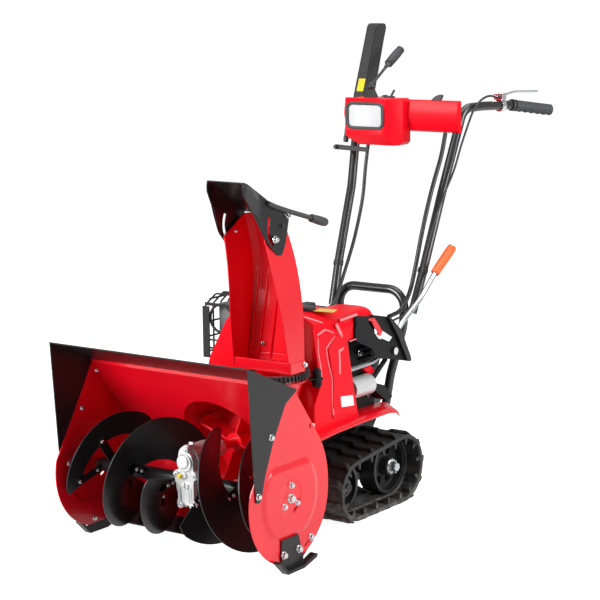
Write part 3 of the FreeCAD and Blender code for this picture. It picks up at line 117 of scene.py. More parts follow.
# %% [markdown]
# ## Helpers for node trees
# Materials and Geometry Nodes trees are both built from nodes in code. Two helpers keep that short:
# one adds a node with its settings and its links, and one adds a step of arithmetic.

# %% Nodes and arithmetic
def add_node(tree, kind, links=(), **values):
    """A node with its plain settings, its socket values and its incoming links."""
    node = tree.nodes.new(kind)
    for key, value in values.items():
        if hasattr(node, key):
            setattr(node, key, value)
        else:
            node.inputs[key.replace("_", " ").title()].default_value = value
    for source, target in links:
        tree.links.new(source, node.inputs[target])
    return node


def calc(tree, operation, result, *others):
    """Arithmetic from left to right; each input is a socket or a plain number."""
    for other in others or (None,):
        node = add_node(tree, "ShaderNodeMath", operation=operation)
        for index, value in enumerate((result, other)):
            if isinstance(value, (int, float)):
                node.inputs[index].default_value = value
            elif value is not None:
                tree.links.new(value, node.inputs[index])
        result = node.outputs[0]
    return result


def remap(tree, value, low, high, start=0.0, end=1.0, **more):
    """A socket's range from low to high, turned into the one from start to end."""
    more = {"From_Min": low, "From_Max": high, "To_Min": start, "To_Max": end, **more}
    return add_node(tree, "ShaderNodeMapRange", [(value, "Value")], **more).outputs[0]


print("node helpers ready")

# %% [markdown]
# ## Floor and light
# A large plain floor catches the soft shadow. The camera and mirror reflections see it white, while
# the light that it throws back on the machine is that of a pale studio floor. Three large soft
# lamps stand for studio boxes: one in front at the camera's left, one at its right, one above.

# %% Floor and backdrop
def stage_material(name, seen, real, mirrored=0.45):
    """A floor or backdrop colour that the camera sees white and that lights the rest plainly."""
    material = bpy.data.materials.new(name)
    material.use_nodes = True
    tree = material.node_tree
    tree.nodes.clear()
    diffuse = add_node(tree, "ShaderNodeBsdfDiffuse", Color=(real, real, real, 1))
    path = add_node(tree, "ShaderNodeLightPath")
    dimmed = calc(tree, "MULTIPLY", path.outputs["Is Glossy Ray"], mirrored)
    direct = path.outputs["Is Camera Ray"], path.outputs["Is Transmission Ray"]
    strength = calc(tree, "MULTIPLY", calc(tree, "MAXIMUM", dimmed, *direct), seen)
    glow = add_node(tree, "ShaderNodeEmission", [(strength, "Strength")], Color=(1, 1, 1, 1))
    both = add_node(tree, "ShaderNodeAddShader", [(diffuse.outputs[0], 0), (glow.outputs[0], 1)])
    add_node(tree, "ShaderNodeOutputMaterial", [(both.outputs[0], "Surface")])
    return material


floor_mesh = bpy.data.meshes.new("floor")
WIDE = 400
floor_mesh.from_pydata(
    [(-WIDE, -WIDE, 0), (WIDE, -WIDE, 0), (WIDE, WIDE, 0), (-WIDE, WIDE, 0)], [], [(0, 1, 2, 3)]
)
floor = bpy.data.objects.new("floor", floor_mesh)
floor.location = (0, 0, cad_box[0][2] - 0.0005)
bpy.context.scene.collection.objects.link(floor)
floor_mesh.materials.append(stage_material("floor_white", 0.92, 0.62))

# %% World and lamps
world = bpy.data.worlds.new("studio")
bpy.context.scene.world = world
world.use_nodes = True
tree = world.node_tree
tree.nodes.clear()
path = add_node(tree, "ShaderNodeLightPath")
seen = calc(tree, "MAXIMUM", path.outputs["Is Camera Ray"], path.outputs["Is Transmission Ray"])
mirrored = remap(tree, path.outputs["Is Glossy Ray"], 0.0, 1.0, 0.17, 0.48)
level = add_node(tree, "ShaderNodeMix", [(seen, 0), (mirrored, 2)])
level.inputs[3].default_value = 1.0
sky = add_node(tree, "ShaderNodeBackground", [(level.outputs[0], "Strength")], Color=(1, 1, 1, 1))
add_node(tree, "ShaderNodeOutputWorld", [(sky.outputs[0], "Surface")])


def soft_lamp(name, place, target, size, power):
    """A square studio box that looks at a point."""
    data = bpy.data.lights.new(name, "AREA")
    data.shape = "RECTANGLE"
    data.size, data.size_y = size
    data.energy = power
    lamp = bpy.data.objects.new(name, data)
    away = Vector(place) - Vector(target)
    lamp.matrix_world = Matrix.Translation(place) @ away.to_track_quat("Z", "Y").to_matrix().to_4x4()
    lamp.visible_camera = False
    bpy.context.scene.collection.objects.link(lamp)


soft_lamp("key_box", (-1.3, -3.8, 1.8), (0, -0.2, 0.4), (2.0, 1.8), 200)
soft_lamp("side_box", (3.4, 0.5, 1.7), (0, -0.1, 0.4), (2.0, 2.2), 110)
soft_lamp("top_box", (0.2, 0.4, 3.4), (0, 0, 0.4), (2.6, 2.6), 60)
bpy.context.scene.view_settings.view_transform = "Standard"
print("stage ready")

# %% [markdown]
# ## Shared effects
# Real enamel is never a perfect mirror, pressed edges are slightly round, and dust settles low down.
# Each of those is a node group made once and placed in many materials with its own numbers. The edge
# group compares the true face direction with one averaged over a small radius, so it rounds the
# light on sharp CAD edges and also tells where paint would rub thin.

# %% A new shader group
def new_group(name, inputs, outputs):
    """An empty shader group with number inputs and any outputs, and its two end nodes."""
    group = bpy.data.node_groups.new(name, "ShaderNodeTree")
    for label, value in inputs.items():
        socket = group.interface.new_socket(label, in_out="INPUT", socket_type="NodeSocketFloat")
        socket.default_value = value
    for label, kind in outputs.items():
        group.interface.new_socket(label, in_out="OUTPUT", socket_type="NodeSocket" + kind)
    return group, group.nodes.new("NodeGroupInput"), group.nodes.new("NodeGroupOutput")


def noise(tree, **values):
    """A noise in object space; each value is a socket or a plain number."""
    links = [(add_node(tree, "ShaderNodeTexCoord").outputs["Object"], "Vector")]
    links += [(value, label) for label, value in values.items() if hasattr(value, "links")]
    plain = {label: value for label, value in values.items() if not hasattr(value, "links")}
    return add_node(tree, "ShaderNodeTexNoise", links, **plain).outputs["Fac"]


# %% Round and worn edges
edge_group, start, end = new_group(
    "soft_edges",
    {"Radius": 0.0015, "Patch Scale": 60.0, "Wear": 0.5}, {"Normal": "Vector", "Worn": "Float"},
)
tree = edge_group
bevel = add_node(tree, "ShaderNodeBevel", [(start.outputs["Radius"], "Radius")], samples=4)
true_face = add_node(tree, "ShaderNodeNewGeometry")
both_ways = [(bevel.outputs["Normal"], 0), (true_face.outputs["Normal"], 1)]
compare = add_node(tree, "ShaderNodeVectorMath", both_ways, operation="DOT_PRODUCT")
bent = remap(tree, compare.outputs["Value"], 0.98, 0.86)
patches = noise(tree, Scale=start.outputs["Patch Scale"], Detail=4.0, Roughness=0.65)
rubbed = calc(tree, "MULTIPLY", bent, remap(tree, patches, 0.46, 0.62), start.outputs["Wear"])
tree.links.new(bevel.outputs["Normal"], end.inputs["Normal"])
tree.links.new(rubbed, end.inputs["Worn"])

# %% Surface grain
grain_group, start, end = new_group(
    "surface_grain",
    {"Scale": 400.0, "Detail": 3.0, "Fine Scale": 1800.0, "Fine Share": 0.4},
    {"Height": "Float", "Cloud": "Float"},
)
tree = grain_group
coarse = noise(tree, Scale=start.outputs["Scale"], Detail=start.outputs["Detail"])
fine = noise(tree, Scale=start.outputs["Fine Scale"], Detail=2.0)
mixed = add_node(tree, "ShaderNodeMix", [(start.outputs["Fine Share"], 0), (coarse, 2), (fine, 3)])
tree.links.new(mixed.outputs[0], end.inputs["Height"])
tree.links.new(noise(tree, Scale=7.0, Detail=3.0), end.inputs["Cloud"])

# %% Dust that settles low
dust_group, start, end = new_group("low_dust", {"Top": 0.16, "Amount": 0.35}, {"Dust": "Float"})
tree = dust_group
where = add_node(tree, "ShaderNodeTexCoord")
split = add_node(tree, "ShaderNodeSeparateXYZ", [(where.outputs["Object"], "Vector")])
height = add_node(
    tree, "ShaderNodeMapRange", [(split.outputs["Z"], "Value"), (start.outputs["Top"], "From Max")],
    From_Min=0.0, To_Min=1.0, To_Max=0.0,
)
patch = remap(tree, noise(tree, Scale=55.0, Detail=6.0, Roughness=0.7), 0.4, 0.7)
settled = calc(tree, "MULTIPLY", height.outputs[0], patch, start.outputs["Amount"])
tree.links.new(settled, end.inputs["Dust"])
print("groups", [g.name for g in bpy.data.node_groups])

# %% [markdown]
# ## Finishes
# One function makes every opaque finish from the same parts: a colour that drifts a little over the
# surface, a roughness that drifts with it, a bump from the grain group, round edges, a worn colour
# on the edges and a trace of dust. The numbers tell enamel, plastic, rubber and casting apart.

# %% The finish maker
finishes = {}
DUST_COLOR = (0.34, 0.32, 0.29, 1)
CAST_GRAIN = (420, 5, 1500, 0.5)
LABEL_GRAIN = (900, 2, 3000, 0.5)


def finish(
    name, color, rough=0.35, metal=0.0, coat=0.0, coat_rough=0.06, drift=0.06, grain=(400, 3, 1800, 0.4),
    bump=0.02, depth=0.0004, edge=0.0015, worn=(0.5, 0.5, 0.5), wear=0.0, dust=0.0, specular=0.5,
):
    """A procedural material: colour drift, roughness drift, grain bump, soft edges, wear and dust."""
    material = bpy.data.materials.new(name)
    material.use_nodes = True
    tree = material.node_tree
    shader = tree.nodes["Principled BSDF"]
    edges = add_node(tree, "ShaderNodeGroup", node_tree=edge_group, Radius=edge, Wear=wear)
    surface = add_node(tree, "ShaderNodeGroup", node_tree=grain_group)
    for label, value in zip(("Scale", "Detail", "Fine Scale", "Fine Share"), grain):
        surface.inputs[label].default_value = value
    shade = remap(tree, surface.outputs["Cloud"], 0.3, 0.7, 1 - drift, 1 + drift)
    tint = add_node(tree, "ShaderNodeVectorMath", operation="SCALE")
    tint.inputs[0].default_value = color
    tree.links.new(shade, tint.inputs["Scale"])
    rubbed = add_node(tree, "ShaderNodeMix", [(edges.outputs["Worn"], 0)], data_type="RGBA")
    tree.links.new(tint.outputs["Vector"], rubbed.inputs[6])
    rubbed.inputs[7].default_value = (*worn, 1)
    dusty = add_node(tree, "ShaderNodeGroup", node_tree=dust_group, Amount=dust)
    final = add_node(tree, "ShaderNodeMix", [(dusty.outputs["Dust"], 0)], data_type="RGBA")
    tree.links.new(rubbed.outputs[2], final.inputs[6])
    final.inputs[7].default_value = DUST_COLOR
    tree.links.new(final.outputs[2], shader.inputs["Base Color"])
    gloss = remap(tree, surface.outputs["Height"], 0.3, 0.7, max(0.02, rough * 0.85), min(1.0, rough * 1.15))
    tree.links.new(gloss, shader.inputs["Roughness"])
    relief = add_node(
        tree, "ShaderNodeBump", [(surface.outputs["Height"], "Height"), (edges.outputs["Normal"], "Normal")],
        Strength=bump, Distance=depth,
    )
    tree.links.new(relief.outputs[0], shader.inputs["Normal"])
    for label, value in (
        ("Metallic", metal), ("Coat Weight", coat), ("Coat Roughness", coat_rough),
        ("Specular IOR Level", specular),
    ):
        shader.inputs[label].default_value = value
    finishes[name] = material


# %% Enamels and plastics
finish("red_enamel", (0.80, 0.0026, 0.0135), 0.24, coat=0.25, bump=0.05, worn=(0.30, 0.02, 0.02), wear=0.3)
finish(
    "red_moulding", (0.80, 0.0026, 0.0140), 0.30, coat=0.0, specular=0.12, grain=(300, 2, 2500, 0.5),
    bump=0.04, edge=0.003,
)
# Paler pink red for the crease beads on the cover: a painted highlight, the lamps' glint along the crease
# edges painted into the colour.
finish("red_crease_painted_highlight", (0.92, 0.22, 0.24), 0.20, coat=0.4, bump=0.03)
finish(
    "black_enamel", (0.012, 0.012, 0.013), 0.30, coat=0.0, specular=0.32, bump=0.05, worn=(0.09, 0.09, 0.09),
    wear=0.35,
)
finish(
    "engine_black", (0.010, 0.010, 0.011), 0.48, specular=0.14, grain=CAST_GRAIN, bump=0.3, depth=0.0006,
    edge=0.002,
)
finish("black_tube", (0.010, 0.010, 0.011), 0.26, coat=0.4, bump=0.03, worn=(0.06, 0.06, 0.06), wear=0.2)
finish("black_moulding", (0.016, 0.016, 0.017), 0.46, grain=(900, 3, 3500, 0.6), bump=0.16, edge=0.002)
finish("orange_moulding", (0.92, 0.13, 0.020), 0.33, grain=(500, 2, 2500, 0.5), bump=0.05, edge=0.002)

# %% Rubbers
finish(
    "tread_rubber", (0.017, 0.017, 0.018), 0.62, grain=(260, 5, 1500, 0.5), bump=0.35, depth=0.0008,
    edge=0.002, dust=0.5,
)
finish("grip_rubber", (0.035, 0.036, 0.038), 0.58, grain=(700, 3, 3000, 0.5), bump=0.2, edge=0.0015)
finish("cable_sheath", (0.012, 0.012, 0.013), 0.34, grain=(600, 2, 2600, 0.5), bump=0.08, edge=0.0008)

# %% Metals
finish(
    "cast_metal", (0.66, 0.67, 0.67), 0.38, metal=0.5, grain=CAST_GRAIN, bump=0.35, depth=0.0006,
    edge=0.0025, drift=0.1,
)
finish(
    "dark_casting", (0.14, 0.14, 0.145), 0.45, metal=0.7, grain=CAST_GRAIN, bump=0.35, depth=0.0006,
    edge=0.002, drift=0.12,
)
finish(
    "zinc_plate", (0.62, 0.63, 0.64), 0.22, metal=1.0, grain=(260, 3, 1200, 0.4), bump=0.06, edge=0.0008,
    drift=0.08,
)
finish("bright_chrome", (0.74, 0.75, 0.77), 0.09, metal=1.0, bump=0.01, edge=0.0008, drift=0.03)
finish("lever_steel", (0.46, 0.47, 0.48), 0.24, metal=1.0, grain=(260, 3, 1200, 0.4), bump=0.05, drift=0.06)
finish("bare_steel", (0.33, 0.33, 0.34), 0.34, metal=1.0, grain=(300, 4, 1400, 0.4), bump=0.12, drift=0.15)

# %% Labels and small lights
finish("white_label", (0.82, 0.83, 0.84), 0.30, coat=0.3, grain=LABEL_GRAIN, bump=0.02, drift=0.03)
finish("yellow_label", (0.90, 0.66, 0.03), 0.30, coat=0.3, grain=LABEL_GRAIN, bump=0.02, drift=0.03)
finish(
    "lamp_lens", (0.80, 0.82, 0.84), 0.12, metal=0.35, coat=0.8, grain=(60, 2, 220, 0.5), bump=0.25,
    depth=0.002, drift=0.18,
)
print("finishes", sorted(finishes))

# %% Dress the CAD nodes
node_finish = {
    "red_enamel": "housing_shell side_plate_left side_plate_right chute impeller impeller_drum",
    "black_enamel": (
        "wing_left wing_right top_lip cutting_edge skid_shoe_left skid_shoe_right auger_left auger_right"
        " deflector main_frame track_frame muffler_guard"
    ),
    "red_moulding": "belt_cover fuel_tank fender_left fender_right control_cowl",
    "black_tube": "handle_frame handle_left handle_right deflector_lever",
    "black_moulding": (
        "chute_ring chute_drive side_box drive_wheel_left drive_wheel_right idler_left idler_right"
        " fuel_cap gate_panel clutch_lever chute_joystick recoil_housing"
    ),
    "tread_rubber": "track_left track_right",
    "cable_sheath": "harness_left harness_right brake_cable",
    "lamp_lens": "lamp_glass",
    "grip_rubber": "grip_left grip_right",
    "cast_metal": "gearbox starter_motor",
    "bright_chrome": "brake_lever",
    "lever_steel": "height_lever",
    "bare_steel": "auger_shaft drive_axle",
    "dark_casting": "muffler",
    "engine_black": "engine_block",
}
for label, names in node_finish.items():
    for name in names.split():
        nodes[name].data.materials.clear()
        nodes[name].data.materials.append(finishes[label])
print("undressed", [n for n in nodes if n not in " ".join(node_finish.values()).split()])

# %% [markdown]
# ## Helpers for pieces
# A piece is a mesh at the origin that rides on one CAD body. Nearly all of them are loops of points
# joined by quads: a profile turned round an axis, a bar laid through points, or a flat outline given
# a thickness. One more helper makes a box with soft edges.

# %% Pieces from meshes
def as_piece(name, mesh, finish_name, body, smooth_angle=35):
    """Wraps a mesh as a piece: finish, soft shading by angle, body."""
    piece = bpy.data.objects.new(name, mesh)
    bpy.context.scene.collection.objects.link(piece)
    if finish_name:
        mesh.materials.clear()
        mesh.materials.append(finishes[finish_name])
    mesh.shade_smooth()
    mesh.set_sharp_from_angle(angle=math.radians(smooth_angle))
    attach(piece, body)
    return piece


def mesh_from(bm, name):
    """Turns a bmesh into a mesh with merged doubles and outward faces."""
    bmesh.ops.remove_doubles(bm, verts=bm.verts, dist=1e-6)
    bmesh.ops.recalc_face_normals(bm, faces=bm.faces)
    mesh = bpy.data.meshes.new(name)
    bm.to_mesh(mesh)
    bm.free()
    return mesh


def small_piece(name, bm, finish_name="black_moulding", body="machine", angle=40):
    """A piece from a bmesh, with its finish, body and the material slot that goes with the finish."""
    piece = as_piece(name, mesh_from(bm, name), finish_name, body, angle)
    print(name, "faces", len(piece.data.polygons))
    return piece


# %% Shapes from loops
def bridge(bm, loops, closed_path=False):
    """Joins loops of points, each with as many points, by quads; caps the ends of an open path."""
    rows = [[bm.verts.new(p) for p in loop] for loop in loops]
    count = len(rows[0])
    pairs = list(zip(rows, rows[1:])) + ([(rows[-1], rows[0])] if closed_path else [])
    for one, two in pairs:
        for i in range(count):
            j = (i + 1) % count
            bm.faces.new((one[i], one[j], two[j], two[i]))
    if not closed_path:
        bm.faces.new(rows[0])
        bm.faces.new(list(reversed(rows[-1])))


def turned(bm, profile, centre, axis, steps=32):
    """A profile of (radius, height) pairs turned round an axis through the centre."""
    axis = Vector(axis).normalized()
    side = axis.orthogonal().normalized()
    other = axis.cross(side)
    loops = []
    for radius, height in profile:
        ring = []
        for k in range(steps):
            angle = 2 * math.pi * k / steps
            out = side * math.cos(angle) + other * math.sin(angle)
            ring.append(Vector(centre) + axis * height + out * max(radius, 1e-5))
        loops.append(ring)
    bridge(bm, loops)


def disc(bm, centre, axis, radius, low, high, steps):
    """A plain round or many-sided disc between two heights along an axis."""
    turned(bm, [(0.0, low), (radius, low), (radius, high), (0.0, high)], centre, axis, steps)


def rod(bm, points, radius, sides=12):
    """A round bar through a few points, with its rings turned halfway at each corner."""
    points = [Vector(p) for p in points]
    loops = []
    side = None
    for i, point in enumerate(points):
        before = (point - points[i - 1]).normalized() if i else None
        after = (points[i + 1] - point).normalized() if i + 1 < len(points) else None
        heading = ((before or after) + (after or before)).normalized()
        if side is None:
            side = heading.orthogonal().normalized()
        side = (side - heading * side.dot(heading)).normalized()
        other = heading.cross(side)
        angles = [2 * math.pi * k / sides for k in range(sides)]
        loops.append([point + (side * math.cos(a) + other * math.sin(a)) * radius for a in angles])
    bridge(bm, loops)


def plate(bm, outline, thickness, place):
    """A flat outline given a thickness. place turns (a, b, height) into a point in space."""
    loops = [[Vector(place(a, b, h)) for a, b in outline] for h in (0, thickness)]
    bridge(bm, loops)


def rounded(outline, radius, steps=4):
    """A polygon with each corner cut round."""
    result = []
    count = len(outline)
    for i in range(count):
        here = Vector(outline[i])
        before = Vector(outline[i - 1]) - here
        after = Vector(outline[(i + 1) % count]) - here
        reach = min(radius, before.length * 0.45, after.length * 0.45)
        start = here + before.normalized() * reach
        end = here + after.normalized() * reach
        for k in range(steps + 1):
            t = k / steps
            result.append(tuple((1 - t) ** 2 * start + 2 * t * (1 - t) * here + t * t * end))
    return result


def soft_box(bm, low, high, radius=0.002, steps=3):
    """A box with all its edges rounded."""
    made = bmesh.ops.create_cube(bm, size=1.0)
    low, high = Vector(low), Vector(high)
    for vert in made["verts"]:
        vert.co = Vector([low[i] + (high[i] - low[i]) * (vert.co[i] + 0.5) for i in range(3)])
    edges = list(dict.fromkeys(edge for vert in made["verts"] for edge in vert.link_edges))
    bmesh.ops.bevel(bm, geom=edges, offset=radius, segments=steps, profile=0.5, affect="EDGES")


print("helpers ready")

# %% [markdown]
# ## Things that repeat
# Bolts, lugs, fins and ribs are one small shape set down many times. Geometry Nodes do that well:
# the places are the vertices of a small mesh, each with the direction that it faces and its size,
# and the tree puts one copy on each. The result is turned to a plain mesh, because only a plain
# mesh can be exported and can ride on a body.

# %% Geometry Nodes helpers
def geo_tree(name, sizes):
    """An empty geometry tree with a material and named number inputs."""
    tree = bpy.data.node_groups.new(name, "GeometryNodeTree")
    for kind in ("Geometry", "Material"):
        tree.interface.new_socket(kind, in_out="INPUT", socket_type="NodeSocket" + kind)
    for label, value in sizes.items():
        socket = tree.interface.new_socket(label, in_out="INPUT", socket_type="NodeSocketFloat")
        socket.default_value = value
    tree.interface.new_socket("Geometry", in_out="OUTPUT", socket_type="NodeSocketGeometry")
    return tree, tree.nodes.new("NodeGroupInput"), tree.nodes.new("NodeGroupOutput")


def attribute(tree, name, kind):
    """The socket of a named attribute."""
    return add_node(tree, "GeometryNodeInputNamedAttribute", data_type=kind, Name=name).outputs["Attribute"]


def finish_tree(tree, start, end, shape):
    """Sets the shape down on every point, turned to the point's two directions, and finishes it."""
    facing = [
        (attribute(tree, "facing", "FLOAT_VECTOR"), "Primary Axis"),
        (attribute(tree, "along", "FLOAT_VECTOR"), "Secondary Axis"),
    ]
    turn = add_node(tree, "FunctionNodeAxesToRotation", facing, primary_axis="Z", secondary_axis="X")
    copies = add_node(
        tree, "GeometryNodeInstanceOnPoints",
        [
            (start.outputs["Geometry"], "Points"), (shape, "Instance"),
            (turn.outputs["Rotation"], "Rotation"), (attribute(tree, "size", "FLOAT"), "Scale"),
        ],
    )
    real = add_node(tree, "GeometryNodeRealizeInstances", [(copies.outputs[0], 0)])
    painted = add_node(
        tree, "GeometryNodeSetMaterial",
        [(real.outputs[0], "Geometry"), (start.outputs["Material"], "Material")],
    )
    tree.links.new(painted.outputs[0], end.inputs[0])


def set_down(name, places, tree, finish_name, body, values=None, smooth_angle=35):
    """Runs a tree on places of (point, facing, along, size) and keeps the plain mesh as a piece."""
    seeds = bpy.data.meshes.new(name + "_places")
    seeds.from_pydata([tuple(p[0]) for p in places], [], [])
    for index, label in ((1, "facing"), (2, "along")):
        layer = seeds.attributes.new(label, "FLOAT_VECTOR", "POINT")
        layer.data.foreach_set("vector", [part for place in places for part in place[index]])
    layer = seeds.attributes.new("size", "FLOAT", "POINT")
    layer.data.foreach_set("value", [place[3] for place in places])
    holder = bpy.data.objects.new(name + "_holder", seeds)
    bpy.context.scene.collection.objects.link(holder)
    modifier = holder.modifiers.new("copies", "NODES")
    modifier.node_group = tree
    wanted = {**(values or {}), "Material": finishes[finish_name]}
    for item in tree.interface.items_tree:
        if item.item_type == "SOCKET" and item.in_out == "INPUT" and item.name in wanted:
            modifier[item.identifier] = wanted[item.name]
    bpy.context.view_layer.update()
    evaluated = holder.evaluated_get(bpy.context.evaluated_depsgraph_get())
    mesh = bpy.data.meshes.new_from_object(evaluated)
    bpy.data.objects.remove(holder)
    mesh.name = name
    piece = as_piece(name, mesh, None, body, smooth_angle)
    print(name, "copies", len(places), "faces", len(mesh.polygons))
    return piece


def across_of(facing):
    """Any direction square to the one faced."""
    return Vector(facing).orthogonal().normalized()


# %% The bolt tree
bolt_tree, start, end = geo_tree(
    "hex_bolt", {"Flange": 1.0, "Flange Height": 0.22, "Head": 0.78, "Head Height": 0.6}
)
tree = bolt_tree


def stacked(tree, sides, radius, top, height, rise=None):
    """A short prism or cone whose sizes come from sockets, lifted by another."""
    sizes = [(radius, "Radius Bottom"), (top, "Radius Top"), (height, "Depth")]
    cone = add_node(tree, "GeometryNodeMeshCone", sizes, Vertices=sides)
    lift = add_node(tree, "ShaderNodeCombineXYZ", [(rise, "Z")] if rise else [])
    move = add_node(
        tree, "GeometryNodeTransform", [(cone.outputs["Mesh"], "Geometry"), (lift.outputs[0], "Translation")]
    )
    return move.outputs[0]


flange_width, flange_high = start.outputs["Flange"], start.outputs["Flange Height"]
head_width, head_high = start.outputs["Head"], start.outputs["Head Height"]
shank_high = calc(tree, "MULTIPLY", head_high, 0.8)
flange = stacked(tree, 18, flange_width, calc(tree, "MULTIPLY", flange_width, 0.9), flange_high)
head = stacked(tree, 6, head_width, head_width, shank_high, flange_high)
crown = stacked(
    tree, 6, head_width, calc(tree, "MULTIPLY", head_width, 0.8), calc(tree, "MULTIPLY", head_high, 0.2),
    calc(tree, "ADD", flange_high, shank_high),
)
join = add_node(tree, "GeometryNodeJoinGeometry", [(part, 0) for part in (flange, head, crown)])
finish_tree(tree, start, end, join.outputs[0])


def bolted(name, places, body):
    """Zinc plated hex bolts set down on a body."""
    set_down(name, places, bolt_tree, "zinc_plate", body)


print("trees", [g.name for g in bpy.data.node_groups if g.bl_idname == "GeometryNodeTree"])

# %% [markdown]
# ## Pressed side plates
# Each side of the housing is one sheet with a shallow raised dish pressed into it. The dish follows
# the round of the augers, ends below in a sharp straight step, and has a small round stamping in its
# middle for the bearing. A plain extrusion can't show that soft relief, so the sheet is filled with
# a fine net of points inside the CAD plate's own outline, and the net is pushed out by a formula.

# %% Outline of a flat CAD face
def flat_outline(node, axis, level, sign=1):
    """The longest edge loop of a CAD node's flat face at a level along an axis, in order."""
    bm = bmesh.new()
    bm.from_mesh(nodes[node].data)
    bmesh.ops.remove_doubles(bm, verts=bm.verts, dist=2e-5)
    chosen = {
        f for f in bm.faces
        if f.normal[axis] * sign > 0.99 and abs(f.calc_center_median()[axis] - level) < 2e-4
    }
    border = [e for e in bm.edges if sum(f in chosen for f in e.link_faces) == 1]
    follow = {}
    for edge in border:
        for one, two in (edge.verts, reversed(edge.verts)):
            follow.setdefault(one.index, []).append(two.index)
    places = {v.index: v.co.copy() for v in bm.verts}
    bm.free()
    loops = []
    unused = set(follow)
    while unused:
        first = unused.pop()
        loop = [first]
        while True:
            onward = [n for n in follow[loop[-1]] if n in unused]
            if not onward:
                break
            loop.append(onward[0])
            unused.discard(onward[0])
        loops.append([places[i] for i in loop])
    return max(loops, key=lambda points: sum((a - b).length for a, b in zip(points, points[1:])))


def inside(point, outline):
    """Whether a flat point is inside an outline."""
    x, y = point
    found = False
    for (x1, y1), (x2, y2) in zip(outline, outline[1:] + outline[:1]):
        if (y1 > y) != (y2 > y) and x < (x2 - x1) * (y - y1) / (y2 - y1) + x1:
            found = not found
    return found


def smooth_step(value, low, high):
    """A smooth rise from 0 to 1 between two values."""
    t = min(1.0, max(0.0, (value - low) / (high - low)))
    return t * t * (3 - 2 * t)


def pressed_sheet(outline, holes, gap, thickness, lift, place):
    """A sheet inside a flat outline, with holes, pushed out by lift(a, b), as a closed bmesh."""
    points = [Vector(p) for p in outline]
    edges = [(i, (i + 1) % len(points)) for i in range(len(points))]
    for hole in holes:
        start = len(points)
        points += [Vector(p) for p in hole]
        edges += [(start + i, start + (i + 1) % len(hole)) for i in range(len(hole))]
    a_values = [p[0] for p in outline]
    b_values = [p[1] for p in outline]
    a = min(a_values) + gap / 2
    row = 0
    while a < max(a_values):
        b = min(b_values) + gap * (0.5 + 0.5 * (row % 2))
        while b < max(b_values):
            if inside((a, b), outline) and not any(inside((a, b), hole) for hole in holes):
                near = min((Vector((a, b)) - p).length for p in points[: len(edges)])
                if near > gap * 0.45:
                    points.append(Vector((a, b)))
            b += gap
        a += gap * 0.87
        row += 1
    flat, _, all_faces, *_ = delaunay_2d_cdt(points, edges, [], 1, 1e-7)
    faces = []
    for face in all_faces:
        middle = sum((flat[i] for i in face), Vector((0, 0))) / len(face)
        if inside(middle, outline) and not any(inside(middle, hole) for hole in holes):
            faces.append(face)
    bm = bmesh.new()
    front = [bm.verts.new(place(p[0], p[1], lift(p[0], p[1]))) for p in flat]
    back = [bm.verts.new(place(p[0], p[1], lift(p[0], p[1]) - thickness)) for p in flat]
    for f in faces:
        bm.faces.new([front[i] for i in f])
        bm.faces.new([back[i] for i in reversed(f)])
    for edge in [e for e in bm.edges if len(e.link_faces) == 1 and e.verts[0] in set(front)]:
        i, j = (front.index(v) for v in edge.verts)
        bm.faces.new((front[i], front[j], back[j], back[i]))
    return bm


# %% Side plates
AUGER_Z = (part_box("auger_shaft")[0][2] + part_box("auger_shaft")[1][2]) / 2
PLATE_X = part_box("wing_left")[0][0]
DISH_RISE = 0.0045


def dish(y, z):
    """How far the plate stands out at a point: a round dish with a straight foot and a small stamping."""
    across, up = y - AUGER_Y, z - AUGER_Z
    reach = math.hypot(across, up - 0.003)
    body = 1 - smooth_step(reach, 0.099, 0.113)
    foot = smooth_step(up + 0.035 * across, -0.0875, -0.0845)
    head = 1 - smooth_step(up, 0.066, 0.092)
    stamp = smooth_step(reach, 0.0385, 0.0435)
    return DISH_RISE * body * foot * head * (0.55 + 0.45 * stamp)


def arc_slot(middle, radius, half, start, end, steps):
    """A curved slot round a centre, between two angles in degrees."""
    angles = [math.radians(start + (end - start) * k / steps) for k in range(steps + 1)]
    result = []
    for reach, row in ((radius + half, angles), (radius - half, reversed(angles))):
        result += [(middle[0] + reach * math.cos(a), middle[1] + reach * math.sin(a)) for a in row]
    return result


def straight_slot(start, end, half):
    """A slot between two points behind and above the ground, in metres from the axle line."""
    one, two = Vector(start), Vector(end)
    along = (two - one).normalized()
    off = Vector((-along.y, along.x)) * half
    corners = [
        one - along * half + off, one - along * half - off, two + along * half - off,
        two + along * half + off,
    ]
    return [(AUGER_Y + p.x, p.y) for p in corners]


plate_slots = [
    arc_slot((AUGER_Y, AUGER_Z), 0.034, 0.0035, -12, -72, 9),
    straight_slot((0.060, 0.045), (0.078, 0.055), 0.003),
    straight_slot((0.085, 0.331), (0.085, 0.335), 0.003),
]
for side, label in SIDES:
    name = "side_plate_" + label
    loop = flat_outline(name, 0, side * PLATE_X, side)
    outline = [(p.y, p.z) for p in loop]
    bm = pressed_sheet(
        outline, plate_slots, 0.0055, 0.0028, dish, lambda a, b, h: (side * (PLATE_X + h), a, b)
    )
    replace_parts(small_piece(name + "_pressed", bm, "red_enamel", angle=50), name)

# %% [markdown]
# ## Bolts of the housing
# Zinc plated flange bolts hold the bearings, the black guards, the skid shoes and the scraper. They
# are all the same shape, so one tree puts them all in place. The list gives the distance behind the
# auger's axle and the height above the ground, and the size is the radius of the flange.

# %% Housing bolts
bolts = []


def bolt(point, facing, size):
    """Adds one housing bolt."""
    bolts.append((point, Vector(facing), across_of(facing), size))


